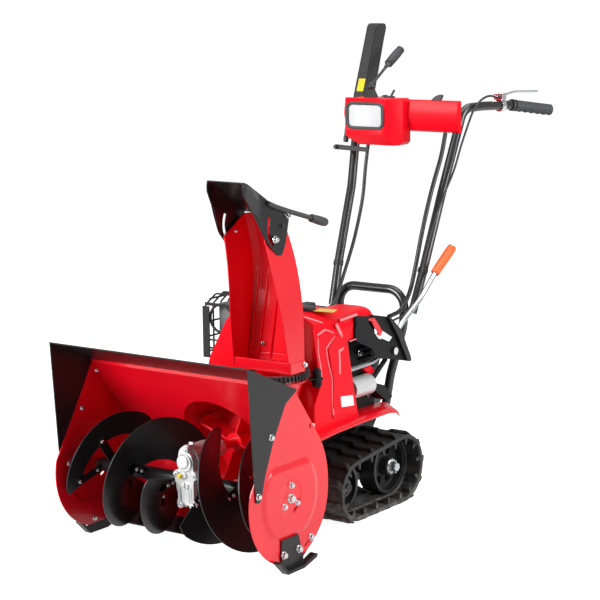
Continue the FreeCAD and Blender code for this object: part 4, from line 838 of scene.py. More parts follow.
shoe_x = PLATE_X + 0.004
for side in (1, -1):
    out = (side, 0, 0)
    for y, up, size in (
        (0.003, 0.206, 0.0085), (-0.025, 0.160, 0.0085), (0.026, 0.159, 0.0078), (0.084, 0.060, 0.0095),
    ):
        bolt((side * (PLATE_X + dish(behind(y), up)), behind(y), up), out, size)
    bolt((side * (PLATE_X + dish(AUGER_Y, 0.178)), AUGER_Y, AUGER_Z), out, 0.0125)
    for y, up in ((-0.074, 0.337), (-0.127, 0.208)):
        bolt((side * (PLATE_X + 0.003), behind(y), up), out, 0.0085)
    for y in (-0.033, 0.028):
        bolt(at(side * shoe_x, y, 0.045), out, 0.0105)
    wall = PLATE_X - 0.003
    for y, up in (
        (0.005, 0.415), (0.101, 0.329), (-0.055, 0.329), (-0.109, 0.198), (-0.021, 0.037), (0.037, 0.037)
    ):
        bolt(at(side * wall, y, up), (-side, 0, 0), 0.007)
bolted("housing_bolts", bolts, "machine")

# %% [markdown]
# ## Rubber tracks
# A track is one moulded rubber belt. Outside it has bent cross lugs that grip the snow, inside it has
# sloping fins beside the wheels. The belt is a thin section swept round the line that the two wheels
# give, and the lugs and fins are copies set down along the same line, one of each per pitch.

# %% The track's line
track_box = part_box("track_left")
TRACK_MID = (track_box[0][0] + track_box[1][0]) / 2
TRACK_HALF = (track_box[1][0] - track_box[0][0]) / 2
LUG = 0.0085
BELT = 0.011
RAIL = 0.0155


def wheel_centre(name):
    """A wheel's centre in Y and Z."""
    low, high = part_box(name)
    return (low[1] + high[1]) / 2, (low[2] + high[2]) / 2


REAR_AT = wheel_centre("drive_wheel_left")
FRONT_AT = wheel_centre("idler_left")
GROUND = track_box[0][2]
REAR_R = REAR_AT[1] - GROUND
FRONT_R = FRONT_AT[1] - GROUND
lean = math.atan2(REAR_AT[1] - FRONT_AT[1], REAR_AT[0] - FRONT_AT[0])
far = math.hypot(REAR_AT[1] - FRONT_AT[1], REAR_AT[0] - FRONT_AT[0])
TILT = lean + math.asin((REAR_R - FRONT_R) / far)


def wheel_arc(centre, radius, start, end, samples):
    """Points and outward directions round a wheel, with both ends."""
    result = []
    for k in range(samples + 1):
        a = start + (end - start) * k / samples
        out = Vector((math.cos(a), math.sin(a)))
        result.append((Vector(centre) + out * radius, out))
    return result


def track_line(depth, count, samples=160):
    """Points and outward directions of the loop at a depth under the lug tips, evenly spaced."""
    low, high = -math.pi / 2, TILT + math.pi / 2
    front = wheel_arc(FRONT_AT, FRONT_R - depth, low, high - 2 * math.pi, samples)
    rear = wheel_arc(REAR_AT, REAR_R - depth, high, low, samples)
    above, below = (
        [(one[0].lerp(two[0], k / samples), one[1]) for k in range(1, samples)]
        for one, two in ((front[-1], rear[0]), (rear[-1], front[0]))
    )
    dense = front + above + rear + below + [front[0]]
    lengths = [0.0]
    for one, two in zip(dense, dense[1:]):
        lengths.append(lengths[-1] + (two[0] - one[0]).length)
    result = []
    place = 0
    for k in range(count):
        goal = lengths[-1] * k / count
        while lengths[place + 1] < goal:
            place += 1
        t = (goal - lengths[place]) / max(1e-9, lengths[place + 1] - lengths[place])
        one, two = dense[place], dense[place + 1]
        result.append((one[0].lerp(two[0], t), one[1].lerp(two[1], t).normalized()))
    return result


LUG_COUNT = 17
base_line = track_line(LUG, LUG_COUNT * 8)
print("track line points", len(base_line))

# %% Blocks shaped in a tree
def ramp(tree, value, low, high):
    """A smooth rise from 0 to 1 between two values of a socket."""
    return remap(tree, value, low, high, interpolation_type="SMOOTHSTEP")


def block_axes(tree, across, high):
    """A unit block cut into steps, with its three position sockets."""
    block = add_node(tree, "GeometryNodeMeshCube", Vertices_Y=across, Vertices_Z=high)
    here = add_node(tree, "GeometryNodeInputPosition")
    parts = add_node(tree, "ShaderNodeSeparateXYZ", [(here.outputs[0], 0)])
    return block.outputs["Mesh"], parts.outputs["X"], parts.outputs["Y"], parts.outputs["Z"]


def moved_block(tree, mesh, x, y, z):
    """The block with its points put at three computed sockets."""
    joined = add_node(tree, "ShaderNodeCombineXYZ", [(x, "X"), (y, "Y"), (z, "Z")])
    shaped = add_node(
        tree, "GeometryNodeSetPosition", [(mesh, "Geometry"), (joined.outputs[0], "Position")]
    )
    return shaped.outputs[0]


# %% The ground lug tree
lug_tree, start, end = geo_tree(
    "track_lug",
    {"Width": 0.148, "Height": 0.0085, "Foot": 0.021, "Step": 0.026, "Heel": 0.010, "Hand": 1.0},
)
tree = lug_tree
mesh, x, y, z = block_axes(tree, 31, 3)
rise = calc(tree, "ADD", z, 0.5)
outward = calc(tree, "MULTIPLY", y, -2.0, start.outputs["Hand"])
step = calc(tree, "MULTIPLY", ramp(tree, outward, -0.24, 0.24), start.outputs["Step"])
heel = calc(tree, "MULTIPLY", ramp(tree, outward, 0.72, 1.02), start.outputs["Heel"])
toe = calc(
    tree, "MULTIPLY", calc(tree, "SUBTRACT", 1.0, ramp(tree, outward, -1.02, -0.72)), start.outputs["Heel"]
)
half_step = calc(tree, "MULTIPLY", start.outputs["Step"], 0.5)
line = calc(tree, "ADD", calc(tree, "SUBTRACT", half_step, step, heel), toe)
reach = calc(tree, "ABSOLUTE", outward)
low_end = calc(tree, "SUBTRACT", 1.0, calc(tree, "MULTIPLY", ramp(tree, reach, 0.80, 1.0), 0.62))
slim = calc(tree, "SUBTRACT", 1.0, calc(tree, "MULTIPLY", rise, 0.36))
thick = calc(tree, "MULTIPLY", x, start.outputs["Foot"], slim)
tall = calc(tree, "MULTIPLY", rise, start.outputs["Height"], low_end)
shape = moved_block(
    tree, mesh, calc(tree, "ADD", thick, line), calc(tree, "MULTIPLY", y, start.outputs["Width"]), tall
)
finish_tree(tree, start, end, shape)

# %% The drive fin tree
fin_tree, start, end = geo_tree("track_fin", {"Length": 0.042, "Height": 0.017, "Thickness": 0.013})
tree = fin_tree
mesh, x, y, z = block_axes(tree, 6, 2)
rise = calc(tree, "ADD", z, 0.5)
slope = calc(tree, "SUBTRACT", 0.5, y)
slim = calc(tree, "SUBTRACT", 1.0, calc(tree, "MULTIPLY", rise, 0.62))
shape = moved_block(
    tree, mesh,
    calc(tree, "MULTIPLY", x, start.outputs["Thickness"], slim),
    calc(tree, "MULTIPLY", y, start.outputs["Length"]),
    calc(tree, "MULTIPLY", rise, slope, start.outputs["Height"]),
)
finish_tree(tree, start, end, shape)

# %% Belts, lugs and fins of both tracks
belt_section = [
    (-1.0, 0.004), (-0.985, 0.0005), (-0.93, 0.0), (-0.90, 0.002), (0.90, 0.002), (0.93, 0.0),
    (0.985, 0.0005), (1.0, 0.004),
    (1.0, BELT - 0.003), (0.97, BELT), (0.40, BELT), (0.36, RAIL), (-0.36, RAIL), (-0.40, BELT),
    (-0.97, BELT),
    (-1.0, BELT - 0.003),
]
for side, label in SIDES:
    bm = bmesh.new()
    loops = []
    for point, out in base_line:
        loops.append(
            [
                Vector((side * (TRACK_MID + x * TRACK_HALF), point.x - out.x * h, point.y - out.y * h))
                for x, h in belt_section
            ]
        )
    bridge(bm, loops, closed_path=True)
    belt = small_piece("track_belt_" + label, bm, "tread_rubber", "chassis", 30)
    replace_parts(belt, "track_" + label)
    lugs, fins = [], []
    for k in range(LUG_COUNT):
        point, out = base_line[k * 8]
        facing = Vector((0, out.x, out.y))
        root = Vector((side * TRACK_MID, point.x, point.y)) + facing * -0.0035
        lugs.append((root, facing, Vector((0, out.y, -out.x)), 1.0))
        inner_point, inner_out = base_line[k * 8 + 4]
        inward = Vector((0, -inner_out.x, -inner_out.y))
        bed = Vector((side * TRACK_MID, inner_point.x, inner_point.y)) + inward * (BELT - 0.0005)
        for way in (1, -1):
            spot = bed + Vector((way * 0.0495, 0, 0))
            along_belt = Vector((0, inward.z, -inward.y)) * way
            fins.append((spot, inward, along_belt, 1.0))
    for tree, places, name, values in (
        (
            lug_tree, lugs, "track_lugs_",
            {"Width": TRACK_HALF * 2 - 0.001, "Height": LUG + 0.0012, "Hand": float(side)},
        ),
        (fin_tree, fins, "track_fins_", {}),
    ):
        piece = set_down(name + label, places, tree, "tread_rubber", "chassis", values, 40)
        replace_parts(piece, "track_" + label)

# %% [markdown]
# ## Wheel hubs
# The drive wheels are held on the axle by a zinc flange with four bolts and a pinned end. The front
# rollers have a plain pressed cap. They are turned profiles, set where the CAD wheels end.

# %% Hubs and caps
HUB_RING = 0.0162
hub_bolts = []
for side, label in SIDES:
    low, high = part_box("drive_wheel_" + label)
    axle_end = max(abs(v) for v in (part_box("drive_axle")[0][0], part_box("drive_axle")[1][0]))
    face = max(abs(low[0]), abs(high[0]))
    centre = Vector((side * face, REAR_AT[0], REAR_AT[1]))
    bm = bmesh.new()
    reach = max(0.010, axle_end - face + 0.004)
    turned(
        bm,
        [(0.0, -0.001), (0.0205, -0.001), (0.0212, 0.0), (0.0212, 0.003), (0.020, 0.004),
         (0.0128, 0.0045), (0.0118, 0.006),
         (0.0118, reach - 0.0015), (0.0105, reach), (0.0, reach)],
        centre, (side, 0, 0), 28,
    )
    rod(bm, [centre + Vector((side * (reach - 0.005), 0.0, up)) for up in (-0.0165, 0.0165)], 0.0018, 8)
    small_piece("wheel_hub_" + label, bm, "zinc_plate", "chassis", 35)
    for k in range(4):
        angle = math.pi / 4 + k * math.pi / 2
        ring = HUB_RING * math.cos(angle), HUB_RING * math.sin(angle)
        spot = centre + Vector((side * 0.004, *ring))
        hub_bolts.append((spot, Vector((side, 0, 0)), REARWARD, 0.0042))
    low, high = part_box("idler_" + label)
    face = max(abs(low[0]), abs(high[0]))
    bm = bmesh.new()
    turned(
        bm, [
            (0.0, -0.001), (0.0135, -0.001), (0.0140, 0.001), (0.0125, 0.0045), (0.006, 0.006), (0.0, 0.0062)
        ],
        Vector((side * face, FRONT_AT[0], FRONT_AT[1])), (side, 0, 0), 24,
    )
    small_piece("roller_cap_" + label, bm, "bare_steel", "chassis", 35)
bolted("hub_bolts", hub_bolts, "chassis")

# %% [markdown]
# ## Control cowl and lamp
# The cowl is one moulded red shell with generous round corners. The CAD node has the right planes but
# sharp corners, so a copy of its mesh is cleaned of its needless triangles and its sharp edges are
# bevelled. The window gets a black rubber frame, and the panel keeps a bare face.

# %% Rounded cowl
bm = bmesh.new()
bm.from_mesh(nodes["control_cowl"].data)
bmesh.ops.remove_doubles(bm, verts=bm.verts, dist=1e-5)
bmesh.ops.dissolve_limit(bm, angle_limit=math.radians(2), verts=bm.verts, edges=bm.edges)
mesh = bpy.data.meshes.new("control_cowl_round")
bm.to_mesh(mesh)
bm.free()
holder = bpy.data.objects.new("control_cowl_holder", mesh)
bpy.context.scene.collection.objects.link(holder)
bevel = holder.modifiers.new("round", "BEVEL")
bevel.width = 0.0035
bevel.segments = 3
bevel.limit_method = "ANGLE"
bevel.angle_limit = math.radians(28)
bpy.context.view_layer.update()
cowl_mesh = bpy.data.meshes.new_from_object(holder.evaluated_get(bpy.context.evaluated_depsgraph_get()))
bpy.data.objects.remove(holder)
cowl = as_piece("control_cowl_rounded", cowl_mesh, "red_moulding", "machine", 30)
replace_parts(cowl, "control_cowl")
print("cowl faces", len(cowl_mesh.polygons))

# %% Window frame
lens_low, lens_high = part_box("lamp_glass")
FRONT_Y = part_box("control_cowl")[0][1]


def frame_outline(grow, radius, steps=6):
    """The window's rounded outline in X and Z, grown outwards."""
    corners = [
        (lens_low[0] - grow, lens_low[2] - grow), (lens_high[0] + grow, lens_low[2] - grow),
        (lens_high[0] + grow, lens_high[2] + grow), (lens_low[0] - grow, lens_high[2] + grow),
    ]
    return rounded(corners, radius, steps)


bm = bmesh.new()
loops = []
for grow, radius, y in (
    (-0.0045, 0.014, lens_low[1] - 0.0005), (-0.004, 0.014, FRONT_Y - 0.002),
    (-0.0005, 0.018, FRONT_Y - 0.003),
    (0.0035, 0.022, FRONT_Y - 0.0022), (0.0042, 0.022, FRONT_Y + 0.001),
):
    loops.append([Vector((x, y, z)) for x, z in frame_outline(grow, radius)])
bridge(bm, loops, closed_path=True)
small_piece("lamp_frame", bm, angle=35)

# %% [markdown]
# ## Small controls on the cowl
# A boot and a sleeve hold the chute stick, and a T knob and a small lever stand on the cowl's top.
# They are all turned or swept profiles in black plastic.

# %% Knobs, boot and link bar
COWL_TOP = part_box("control_cowl")[1][2]
bm = bmesh.new()
stick = at(-0.095, 0.951, COWL_TOP)
turned(
    bm,
    [(0.0, -0.002), (0.0155, -0.002), (0.0155, 0.002), (0.0075, 0.0045), (0.0062, 0.020),
     (0.0105, 0.0235), (0.0125, 0.028),
     (0.0120, 0.0335), (0.0085, 0.0375), (0.0045, 0.041), (0.0, 0.042)],
    stick, (0, 0, 1), 24,
)
small_piece("stick_boot", bm)
bm = bmesh.new()
grip_axis = Vector((0, 0.063, 0.037)).normalized()
turned(
    bm,
    [(0.0, -0.020), (0.0045, -0.019), (0.0062, -0.010), (0.0100, 0.002), (0.0124, 0.014),
     (0.0130, 0.030), (0.0126, 0.058),
     (0.0105, 0.070), (0.0060, 0.0755), (0.0, 0.077)],
    at(-0.095, 1.040, 1.135), grip_axis, 28,
)
small_piece("stick_knob", bm, "grip_rubber")

bm = bmesh.new()
knob = at(-0.036, 0.955, COWL_TOP)
soft_box(bm, knob + Vector((-0.014, -0.009, -0.001)), knob + Vector((0.012, 0.009, 0.004)), 0.0015)
rod(
    bm,
    [
        knob + Vector((0.004, 0, 0.003)), knob + Vector((0.006, 0.004, 0.010)),
        knob + Vector((0.009, 0.010, 0.020)),
    ],
    0.0032, 10,
)
small_piece("engine_switch", bm)

bm = bmesh.new()
lever = at(0.118, 0.950, COWL_TOP - 0.004)
outline = rounded([(-0.018, 0.0), (0.014, 0.0), (0.020, 0.016), (0.010, 0.017), (-0.004, 0.012)], 0.006, 5)
plate(bm, outline, 0.007, lambda a, b, h: lever + Vector((a, h, b)))
small_piece("throttle_lever", bm)

bm = bmesh.new()
rod(bm, [at(-0.160, 0.925, 0.962), at(-0.1605, 0.921, 0.938)], 0.0055, 14)
turned(
    bm, [(0.0, 0.0), (0.0070, 0.0), (0.0078, 0.004), (0.0068, 0.017), (0.0, 0.018)],
    at(-0.1604, 0.9225, 0.938), (0, -0.16, -1), 18,
)
small_piece("choke_knob", bm)

bm = bmesh.new()
bar = rounded([(-0.197, 0.900), (-0.083, 0.897), (-0.080, 0.909), (-0.196, 0.914)], 0.006, 5)
plate(bm, bar, 0.004, lambda a, b, h: Vector((a, behind(0.913) + h, b)))
disc(bm, at(-0.188, 0.912, 0.907), (0, -1, 0), 0.0052, -0.001, 0.007, 16)
small_piece("link_bar", bm)

bm = bmesh.new()
for side in (1, -1):
    bands = [at(side * 0.1395, 0.8495, 0.5955), at(side * 0.1382, 0.8445, 0.584)]
    rod(bm, bands, 0.0142, 20)
small_piece("cable_bands", bm)

# %% [markdown]
# ## Clutch lever
# The tall lever is a folded channel: a flat black face with one rim that catches the light, and a
# round end on top. Its label stays a plain yellow patch. The CAD solid has its outline, and a sheet
# with rims takes its place so that its back is open, as on the real one.

# %% Channel and patch
clutch_low, clutch_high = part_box("clutch_lever")
CLUTCH = [
    (1.000, 1.034), (1.056, 1.034), (1.112, 1.204), (1.123, 1.232), (1.119, 1.243), (1.108, 1.2455),
    (1.086, 1.2455), (1.0765, 1.240),
]
bm = bmesh.new()
wide_low, wide_high = clutch_low[0], clutch_high[0]
for a, b in ((wide_low, wide_low + 0.003), (wide_high - 0.003, wide_high)):
    loops = [[at(x, p[0], p[1]) for p in rounded(CLUTCH, 0.006, 3)] for x in (a, b)]
    bridge(bm, loops)
face_points = [Vector(p) for p in ((1.000, 1.034), (1.0765, 1.240), (1.086, 1.2455), (1.108, 1.2455))]
front = [[at(x, p.x, p.y) for p in face_points] for x in (wide_low + 0.001, wide_high - 0.001)]
back = [[v + Vector((0, 0.003, -0.001)) for v in row] for row in front]
for row in range(3):
    quad = [front[0][row], front[0][row + 1], front[1][row + 1], front[1][row]]
    deep = [back[0][row], back[0][row + 1], back[1][row + 1], back[1][row]]
    bridge(bm, [quad, deep])
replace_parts(small_piece("clutch_channel", bm), "clutch_lever")
bm = bmesh.new()
patch_a, patch_b = Vector((1.0085, 1.0570)), Vector((1.0215, 1.0920))
quad = []
for x, p in (
    (wide_low + 0.008, patch_a), (wide_high - 0.004, patch_a), (wide_high - 0.004, patch_b),
    (wide_low + 0.008, patch_b),
):
    quad.append(at(x, p.x, p.y) + Vector((0, -0.0012, 0.0004)))
bridge(bm, [quad, [v + Vector((0, 0.0008, 0)) for v in quad]])
small_piece("clutch_patch", bm, "yellow_label")

# %% [markdown]
# ## Hand grips
# Each grip is a rubber sleeve with fine rings and finger waves on its underside. A formula for the
# radius round and along the bar gives both, and the sleeve takes the place of the plain CAD one.

# %% Grips
GRIP_RADIUS = 0.0152
for side, label in SIDES:
    mount = next(m for m in frame["record"]["mounts"] if m["name"] == "grip_" + label)
    middle = Vector(mount["pos_m"])
    axis = Vector(mount["axis"]).normalized()
    if axis.y < 0:
        axis = -axis
    length = mount["dims"]["length_mm"] / 1000
    down = (Vector((0, 0, -1)) - axis * Vector((0, 0, -1)).dot(axis)).normalized()
    level = axis.cross(down)
    loops = []
    rings = 110
    for k in range(rings + 1):
        t = k / rings
        centre = middle + axis * (t - 0.5) * length
        ring = []
        for j in range(28):
            angle = 2 * math.pi * j / 28
            under = max(0.0, math.cos(angle)) ** 1.5
            radius = GRIP_RADIUS
            if t < 0.045:
                radius = GRIP_RADIUS + 0.0012
            elif t > 0.97:
                radius = GRIP_RADIUS * math.sqrt(max(0.02, 1 - ((t - 0.97) / 0.03) ** 2)) + 0.0008
            else:
                radius += 0.0004 * (1 if (k // 2) % 2 else -1)
                radius += 0.0013 * under * math.sin((t - 0.10) * 2 * math.pi * 6) if 0.10 < t < 0.93 else 0.0
            ring.append(centre + down * math.cos(angle) * radius + level * math.sin(angle) * radius)
        loops.append(ring)
    bm = bmesh.new()
    bridge(bm, loops)
    grip = small_piece("hand_grip_" + label, bm, "grip_rubber", angle=60)
    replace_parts(grip, "grip_" + label)

# %% Height lever grip
bm = bmesh.new()
low = at(0.184, 0.838, 0.590)
high = at(0.184, 0.925, 0.647)
heading = (high - low).normalized()
turned(
    bm,
    [(0.0, -0.004), (0.0095, -0.004), (0.0123, -0.001), (0.0126, 0.020), (0.0132, 0.055),
     (0.0134, 0.086), (0.0127, 0.1005),
     (0.0095, 0.1065), (0.0, 0.108)],
    low, heading, 28,
)
small_piece("height_grip", bm, "orange_moulding", "height_lever")

# %% [markdown]
# ## Chute
# The chute is folded from sheet: straight sides, a back of three facets, and a closed band round its
# foot. It narrows upwards in one smooth curve, so it is lofted through many levels, and its top is
# cut on a slope. Three pressed ribs stiffen the inside of the back.

# %% Smooth levels
CHUTE_X = 0.125
LEVELS = [
    # height, half width, front, corner and back
    (0.441, 0.0870, 0.1300, 0.188, 0.2140),
    (0.565, 0.0800, 0.1110, 0.196, 0.2140),
    (0.648, 0.0715, 0.0975, 0.195, 0.2120),
    (0.722, 0.0655, 0.0820, 0.181, 0.2010),
    (0.792, 0.0600, 0.0610, 0.156, 0.1760),
    (0.822, 0.0575, 0.0480, 0.141, 0.1600),
]
SHEET = 0.003
CHUTE_FOOT = 0.4405
CUT_AT = (0.060, 0.766)
CUT_SLOPE = 0.66
CUT_HIGHEST = 0.8215


def level_at(z):
    """Half width, front, corner and back of the chute at a height, on a smooth curve."""
    k = 0
    while k < len(LEVELS) - 2 and z > LEVELS[k + 1][0]:
        k += 1
    one, two = LEVELS[k], LEVELS[k + 1]
    before = LEVELS[max(k - 1, 0)]
    after = LEVELS[min(k + 2, len(LEVELS) - 1)]
    span = two[0] - one[0]
    t = (z - one[0]) / span
    values = []
    for i in range(1, 5):
        start = (two[i] - before[i]) / (two[0] - before[0]) * span
        end = (after[i] - one[i]) / (after[0] - one[0]) * span
        values.append(
            (2 * t**3 - 3 * t**2 + 1) * one[i] + (t**3 - 2 * t**2 + t) * start
            + (-2 * t**3 + 3 * t**2) * two[i] + (t**3 - t**2) * end
        )
    return values


def chute_corner(index, z, inset):
    """One of the eight corners of the chute's plan at a height."""
    half, front, corner, back = level_at(z)
    half, back = half - inset, back - inset
    facet = corner + (back - corner) * 0.7
    plan = [(-half, front), (-half, corner), (-half * 0.75, facet), (-half * 0.36, back)]
    plan += [(-x, y) for x, y in reversed(plan)]
    x, y = plan[index]
    return CHUTE_X + x, y


def chute_top(index, inset):
    """The height at which a corner's line meets the sloping cut."""
    low, high = 0.70, 0.83
    for _ in range(24):
        middle = (low + high) / 2
        back = chute_corner(index, middle, inset)[1]
        if middle < min(CUT_HIGHEST, CUT_AT[1] + (back - CUT_AT[0]) * CUT_SLOPE):
            low = middle
        else:
            high = middle
    return low


# %% Chute shell and ribs
ROWS = 30
loops = [[] for _ in range(ROWS + 1)]
for inset, order in ((0.0, range(8)), (SHEET, reversed(range(8)))):
    for index in order:
        top = chute_top(index, inset)
        for k in range(ROWS + 1):
            z = CHUTE_FOOT + (top - CHUTE_FOOT) * k / ROWS
            x, y = chute_corner(index, z, inset)
            loops[k].append(at(x, y, z))
bm = bmesh.new()
bridge(bm, loops)
band_plan = [chute_corner(i, 0.441, -0.0015) for i in range(8)]
band_plan[0] = (band_plan[0][0], 0.1300)
band_plan[-1] = (band_plan[-1][0], 0.1300)
inner_plan = [chute_corner(i, 0.441, SHEET) for i in range(8)]
inner_plan[0] = (inner_plan[0][0], 0.1330)
inner_plan[-1] = (inner_plan[-1][0], 0.1330)
band_low, band_high = 0.4375, 0.4655
rings = []
for plan, z in (
    (band_plan, band_low), (band_plan, band_high - 0.001), (inner_plan, band_high), (inner_plan, band_low)
):
    rings.append([at(x, y, z) for x, y in plan])
bridge(bm, rings, closed_path=True)


def on_back(z, share):
    """A point on the inside of the chute's back, share 0 to 7 along the plan's corners."""
    first = min(6, int(share))
    one, two = chute_corner(first, z, SHEET), chute_corner(first + 1, z, SHEET)
    t = share - first
    return Vector((one[0] + (two[0] - one[0]) * t, behind(one[1] + (two[1] - one[1]) * t), z))


RIB_HEIGHT, RIB_HALF = 0.0052, 0.0042
for low_share, high_share, top in ((1.03, 1.58, 0.684), (1.93, 2.74, 0.683), (2.96, 3.42, 0.640)):
    ridge = []
    for k in range(17):
        t = k / 16
        z = 0.452 + (top - 0.452) * t
        share = low_share + (high_share - low_share) * t
        middle = on_back(z, share)
        aside = (on_back(z, share + 0.05) - on_back(z, share - 0.05)).normalized()
        inward = Vector((aside.y, -aside.x, 0))
        if inward.y > 0:
            inward = -inward
        height = RIB_HEIGHT * min(1.0, 6 * (1 - t)) * min(1.0, 12 * t + 0.2)
        foot, crest = aside * RIB_HALF, aside * RIB_HALF * 0.35
        sunk = inward * 0.001
        top_of = middle + inward * height
        ridge.append([middle - foot - sunk, top_of - crest, top_of + crest, middle + foot - sunk])
    bridge(bm, ridge)
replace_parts(small_piece("chute_shell", bm, "red_enamel", "chute", 20), "chute")

# %% Bolts and hinge of the chute
chute_bolts = []
for point, facing, size in (
    (at(0.2138, 0.187, 0.453), (1, 0, 0), 0.0075),
    (at(0.0362, 0.187, 0.453), (-1, 0, 0), 0.0075),
    (at(0.0805, 0.096, 0.782), (1, 0, 0), 0.0055),
    (at(0.168, 0.2045, 0.487), (-0.35, -0.94, 0), 0.0055),
    (at(0.075, 0.2035, 0.489), (0.35, -0.94, 0), 0.0055),
):
    chute_bolts.append((Vector(point), Vector(facing).normalized(), across_of(facing), size))
bolted("chute_bolts", chute_bolts, "chute")

# %% [markdown]
# ## Deflector hood
# The hood is a black folded sheet with two cheeks. Each cheek has a curved slot round the hinge, with
# the chrome nut that clamps the hood beside it. The cheeks are flat nets with the slot left open, and
# the roof is one strip that narrows a little to its lip.

# %% Hood
HINGE_AT = (0.128, 0.798)
HOOD_PATH = [(0.001, 0.9130), (0.012, 0.9085), (0.075, 0.8640), (0.098, 0.8520), (0.155, 0.8240)]
CHEEK = [
    (0.000, 0.9130), (0.012, 0.9085), (0.075, 0.8640), (0.098, 0.8520), (0.158, 0.8225), (0.1585, 0.812),
    (0.143, 0.752), (0.128, 0.727), (0.113, 0.7285), (0.085, 0.750), (0.056, 0.781), (0.021, 0.847),
    (-0.003, 0.886), (-0.003, 0.905),
]


def hood_half(y):
    """Half width of the hood at a distance behind the axle: a little narrower at the lip."""
    return 0.0515 + 0.0130 * smooth_step(y, 0.0, 0.052)


bm_hood = bmesh.new()
cheek_line = rounded(CHEEK, 0.006, 4)
hood_slot = arc_slot(HINGE_AT, 0.053, 0.0052, 150, 232, 14)
for side in (1, -1):
    sheet_bm = pressed_sheet(
        cheek_line, [hood_slot], 0.012, 0.0024, lambda a, b: 0.0,
        lambda a, b, h: (CHUTE_X + side * (hood_half(a) + 0.003 + h), behind(a), b),
    )
    cheek_mesh = bpy.data.meshes.new("cheek")
    sheet_bm.to_mesh(cheek_mesh)
    sheet_bm.free()
    bm_hood.from_mesh(cheek_mesh)
    bpy.data.meshes.remove(cheek_mesh)
strip = []
for i, (y, z) in enumerate(HOOD_PATH):
    before = Vector(HOOD_PATH[max(i - 1, 0)])
    after = Vector(HOOD_PATH[min(i + 1, len(HOOD_PATH) - 1)])
    way = (after - before).normalized()
    inward = Vector((way.y, -way.x)) * 0.0024
    half = hood_half(y) + 0.0028
    strip.append(
        [at(CHUTE_X - half, y, z), at(CHUTE_X + half, y, z),
         at(CHUTE_X + half, y + inward.x, z + inward.y),
         at(CHUTE_X - half, y + inward.x, z + inward.y)]
    )
bridge(bm_hood, strip)
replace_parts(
    small_piece("deflector_hood", bm_hood, "black_enamel", "deflector", 35), "deflector"
)

# %% Clamp nuts, hinge bolts and hood lever
for side, label in SIDES:
    bm = bmesh.new()
    wall = CHUTE_X + side * (hood_half(0.096) + 0.0057)
    spot = at(wall, 0.0965, 0.7695)
    disc(bm, spot, (side, 0, 0), 0.0092, 0.0, 0.0016, 24)
    turned(
        bm, [(0.0, 0.0016), (0.0074, 0.0016), (0.0074, 0.0075), (0.0062, 0.0085), (0.0, 0.0085)], spot,
        (side, 0, 0), 6,
    )
    turned(bm, [(0.0, 0.0085), (0.0040, 0.0085), (0.0040, 0.0115), (0.0, 0.0118)], spot, (side, 0, 0), 14)
    small_piece("hood_nut_" + label, bm, "bright_chrome", "chute", 35)
hinge_bolts = []
for side in (1, -1):
    wall = CHUTE_X + side * (hood_half(0.128) + 0.0034)
    hinge_bolts.append((at(wall, *HINGE_AT), Vector((side, 0, 0)), REARWARD, 0.0070))
set_down("hood_hinges", hinge_bolts, bolt_tree, "black_tube", "deflector")
bm = bmesh.new()
LEVER_X = 0.1965
bar = [(0.070, 0.8590), (0.098, 0.8480), (0.153, 0.8310), (0.248, 0.8040)]
rod(bm, [at(LEVER_X, y, z) for y, z in bar], 0.0060, 12)
grip_from, grip_to = at(LEVER_X, 0.243, 0.8052), at(LEVER_X, 0.309, 0.7862)
turned(
    bm,
    [(0.0, 0.0), (0.0088, 0.0), (0.0104, 0.003), (0.0104, 0.008), (0.0090, 0.011), (0.0104, 0.014),
     (0.0112, 0.034),
     (0.0112, 0.052), (0.0100, 0.063), (0.0064, 0.0685), (0.0, 0.070)],
    grip_from, grip_to - grip_from, 28,
)
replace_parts(small_piece("hood_lever", bm, "grip_rubber", "deflector"), "deflector_lever")
bm = bmesh.new()
rod(
    bm,
    [
        at(LEVER_X - 0.003, 0.139, 0.826), at(LEVER_X + 0.005, 0.142, 0.817),
        at(LEVER_X + 0.004, 0.152, 0.8175), at(LEVER_X - 0.003, 0.160, 0.826),
    ],
    0.0018, 8,
)
small_piece("hood_clip", bm, "bright_chrome", "deflector")

# %% [markdown]
# ## Belt cover
# The moulded cover stays the CAD node. Raised creases follow its surface: each crease is a list of
# places, dropped onto the cover from outside, with a round bead laid through them. The beads are a
# paler red than the cover: a painted highlight along each crease. The same drop seats the blank label
# patches.

# %% Creases
def onto_cover(start, way, otherwise):
    """The point where a line from outside meets the belt cover, or another point where it misses."""
    hit, spot, *_ = nodes["belt_cover"].ray_cast(Vector(start), Vector(way))
    return spot if hit else Vector(otherwise)


def from_side(y, z):
    """A point on the cover's side."""
    return onto_cover(at(0.26, y, z), (-1, 0, 0), at(0.1985, y, z))


def from_above(x, y):
    """A point on the cover's top."""
    return onto_cover(at(x, y, 0.62), (0, 0, -1), at(x, y, 0.5555))


def along(points, steps=8):
    """Even points along a chain of corners."""
    result = []
    for one, two in zip(points, points[1:]):
        result += [
            (one[0] + (two[0] - one[0]) * k / steps, one[1] + (two[1] - one[1]) * k / steps)
            for k in range(steps)
        ]
    return result + [points[-1]]


def bead(bm, spots, width, height, outward):
    """A flat-backed ridge laid through points of a surface, standing out along outward."""
    outward = Vector(outward).normalized()
    rows = []
    for i, spot in enumerate(spots):
        way = (spots[min(i + 1, len(spots) - 1)] - spots[max(i - 1, 0)]).normalized()
        aside = way.cross(outward).normalized()
        share = min(1.0, 4.0 * min(i, len(spots) - 1 - i) / len(spots) + 0.15)
        rise = height * share
        rows.append(
            [spot - aside * width - outward * 0.002, spot - aside * width * 0.55 + outward * rise * 0.8,
             spot + outward * rise, spot + aside * width * 0.55 + outward * rise * 0.8,
             spot + aside * width - outward * 0.002]
        )
    bridge(bm, rows)


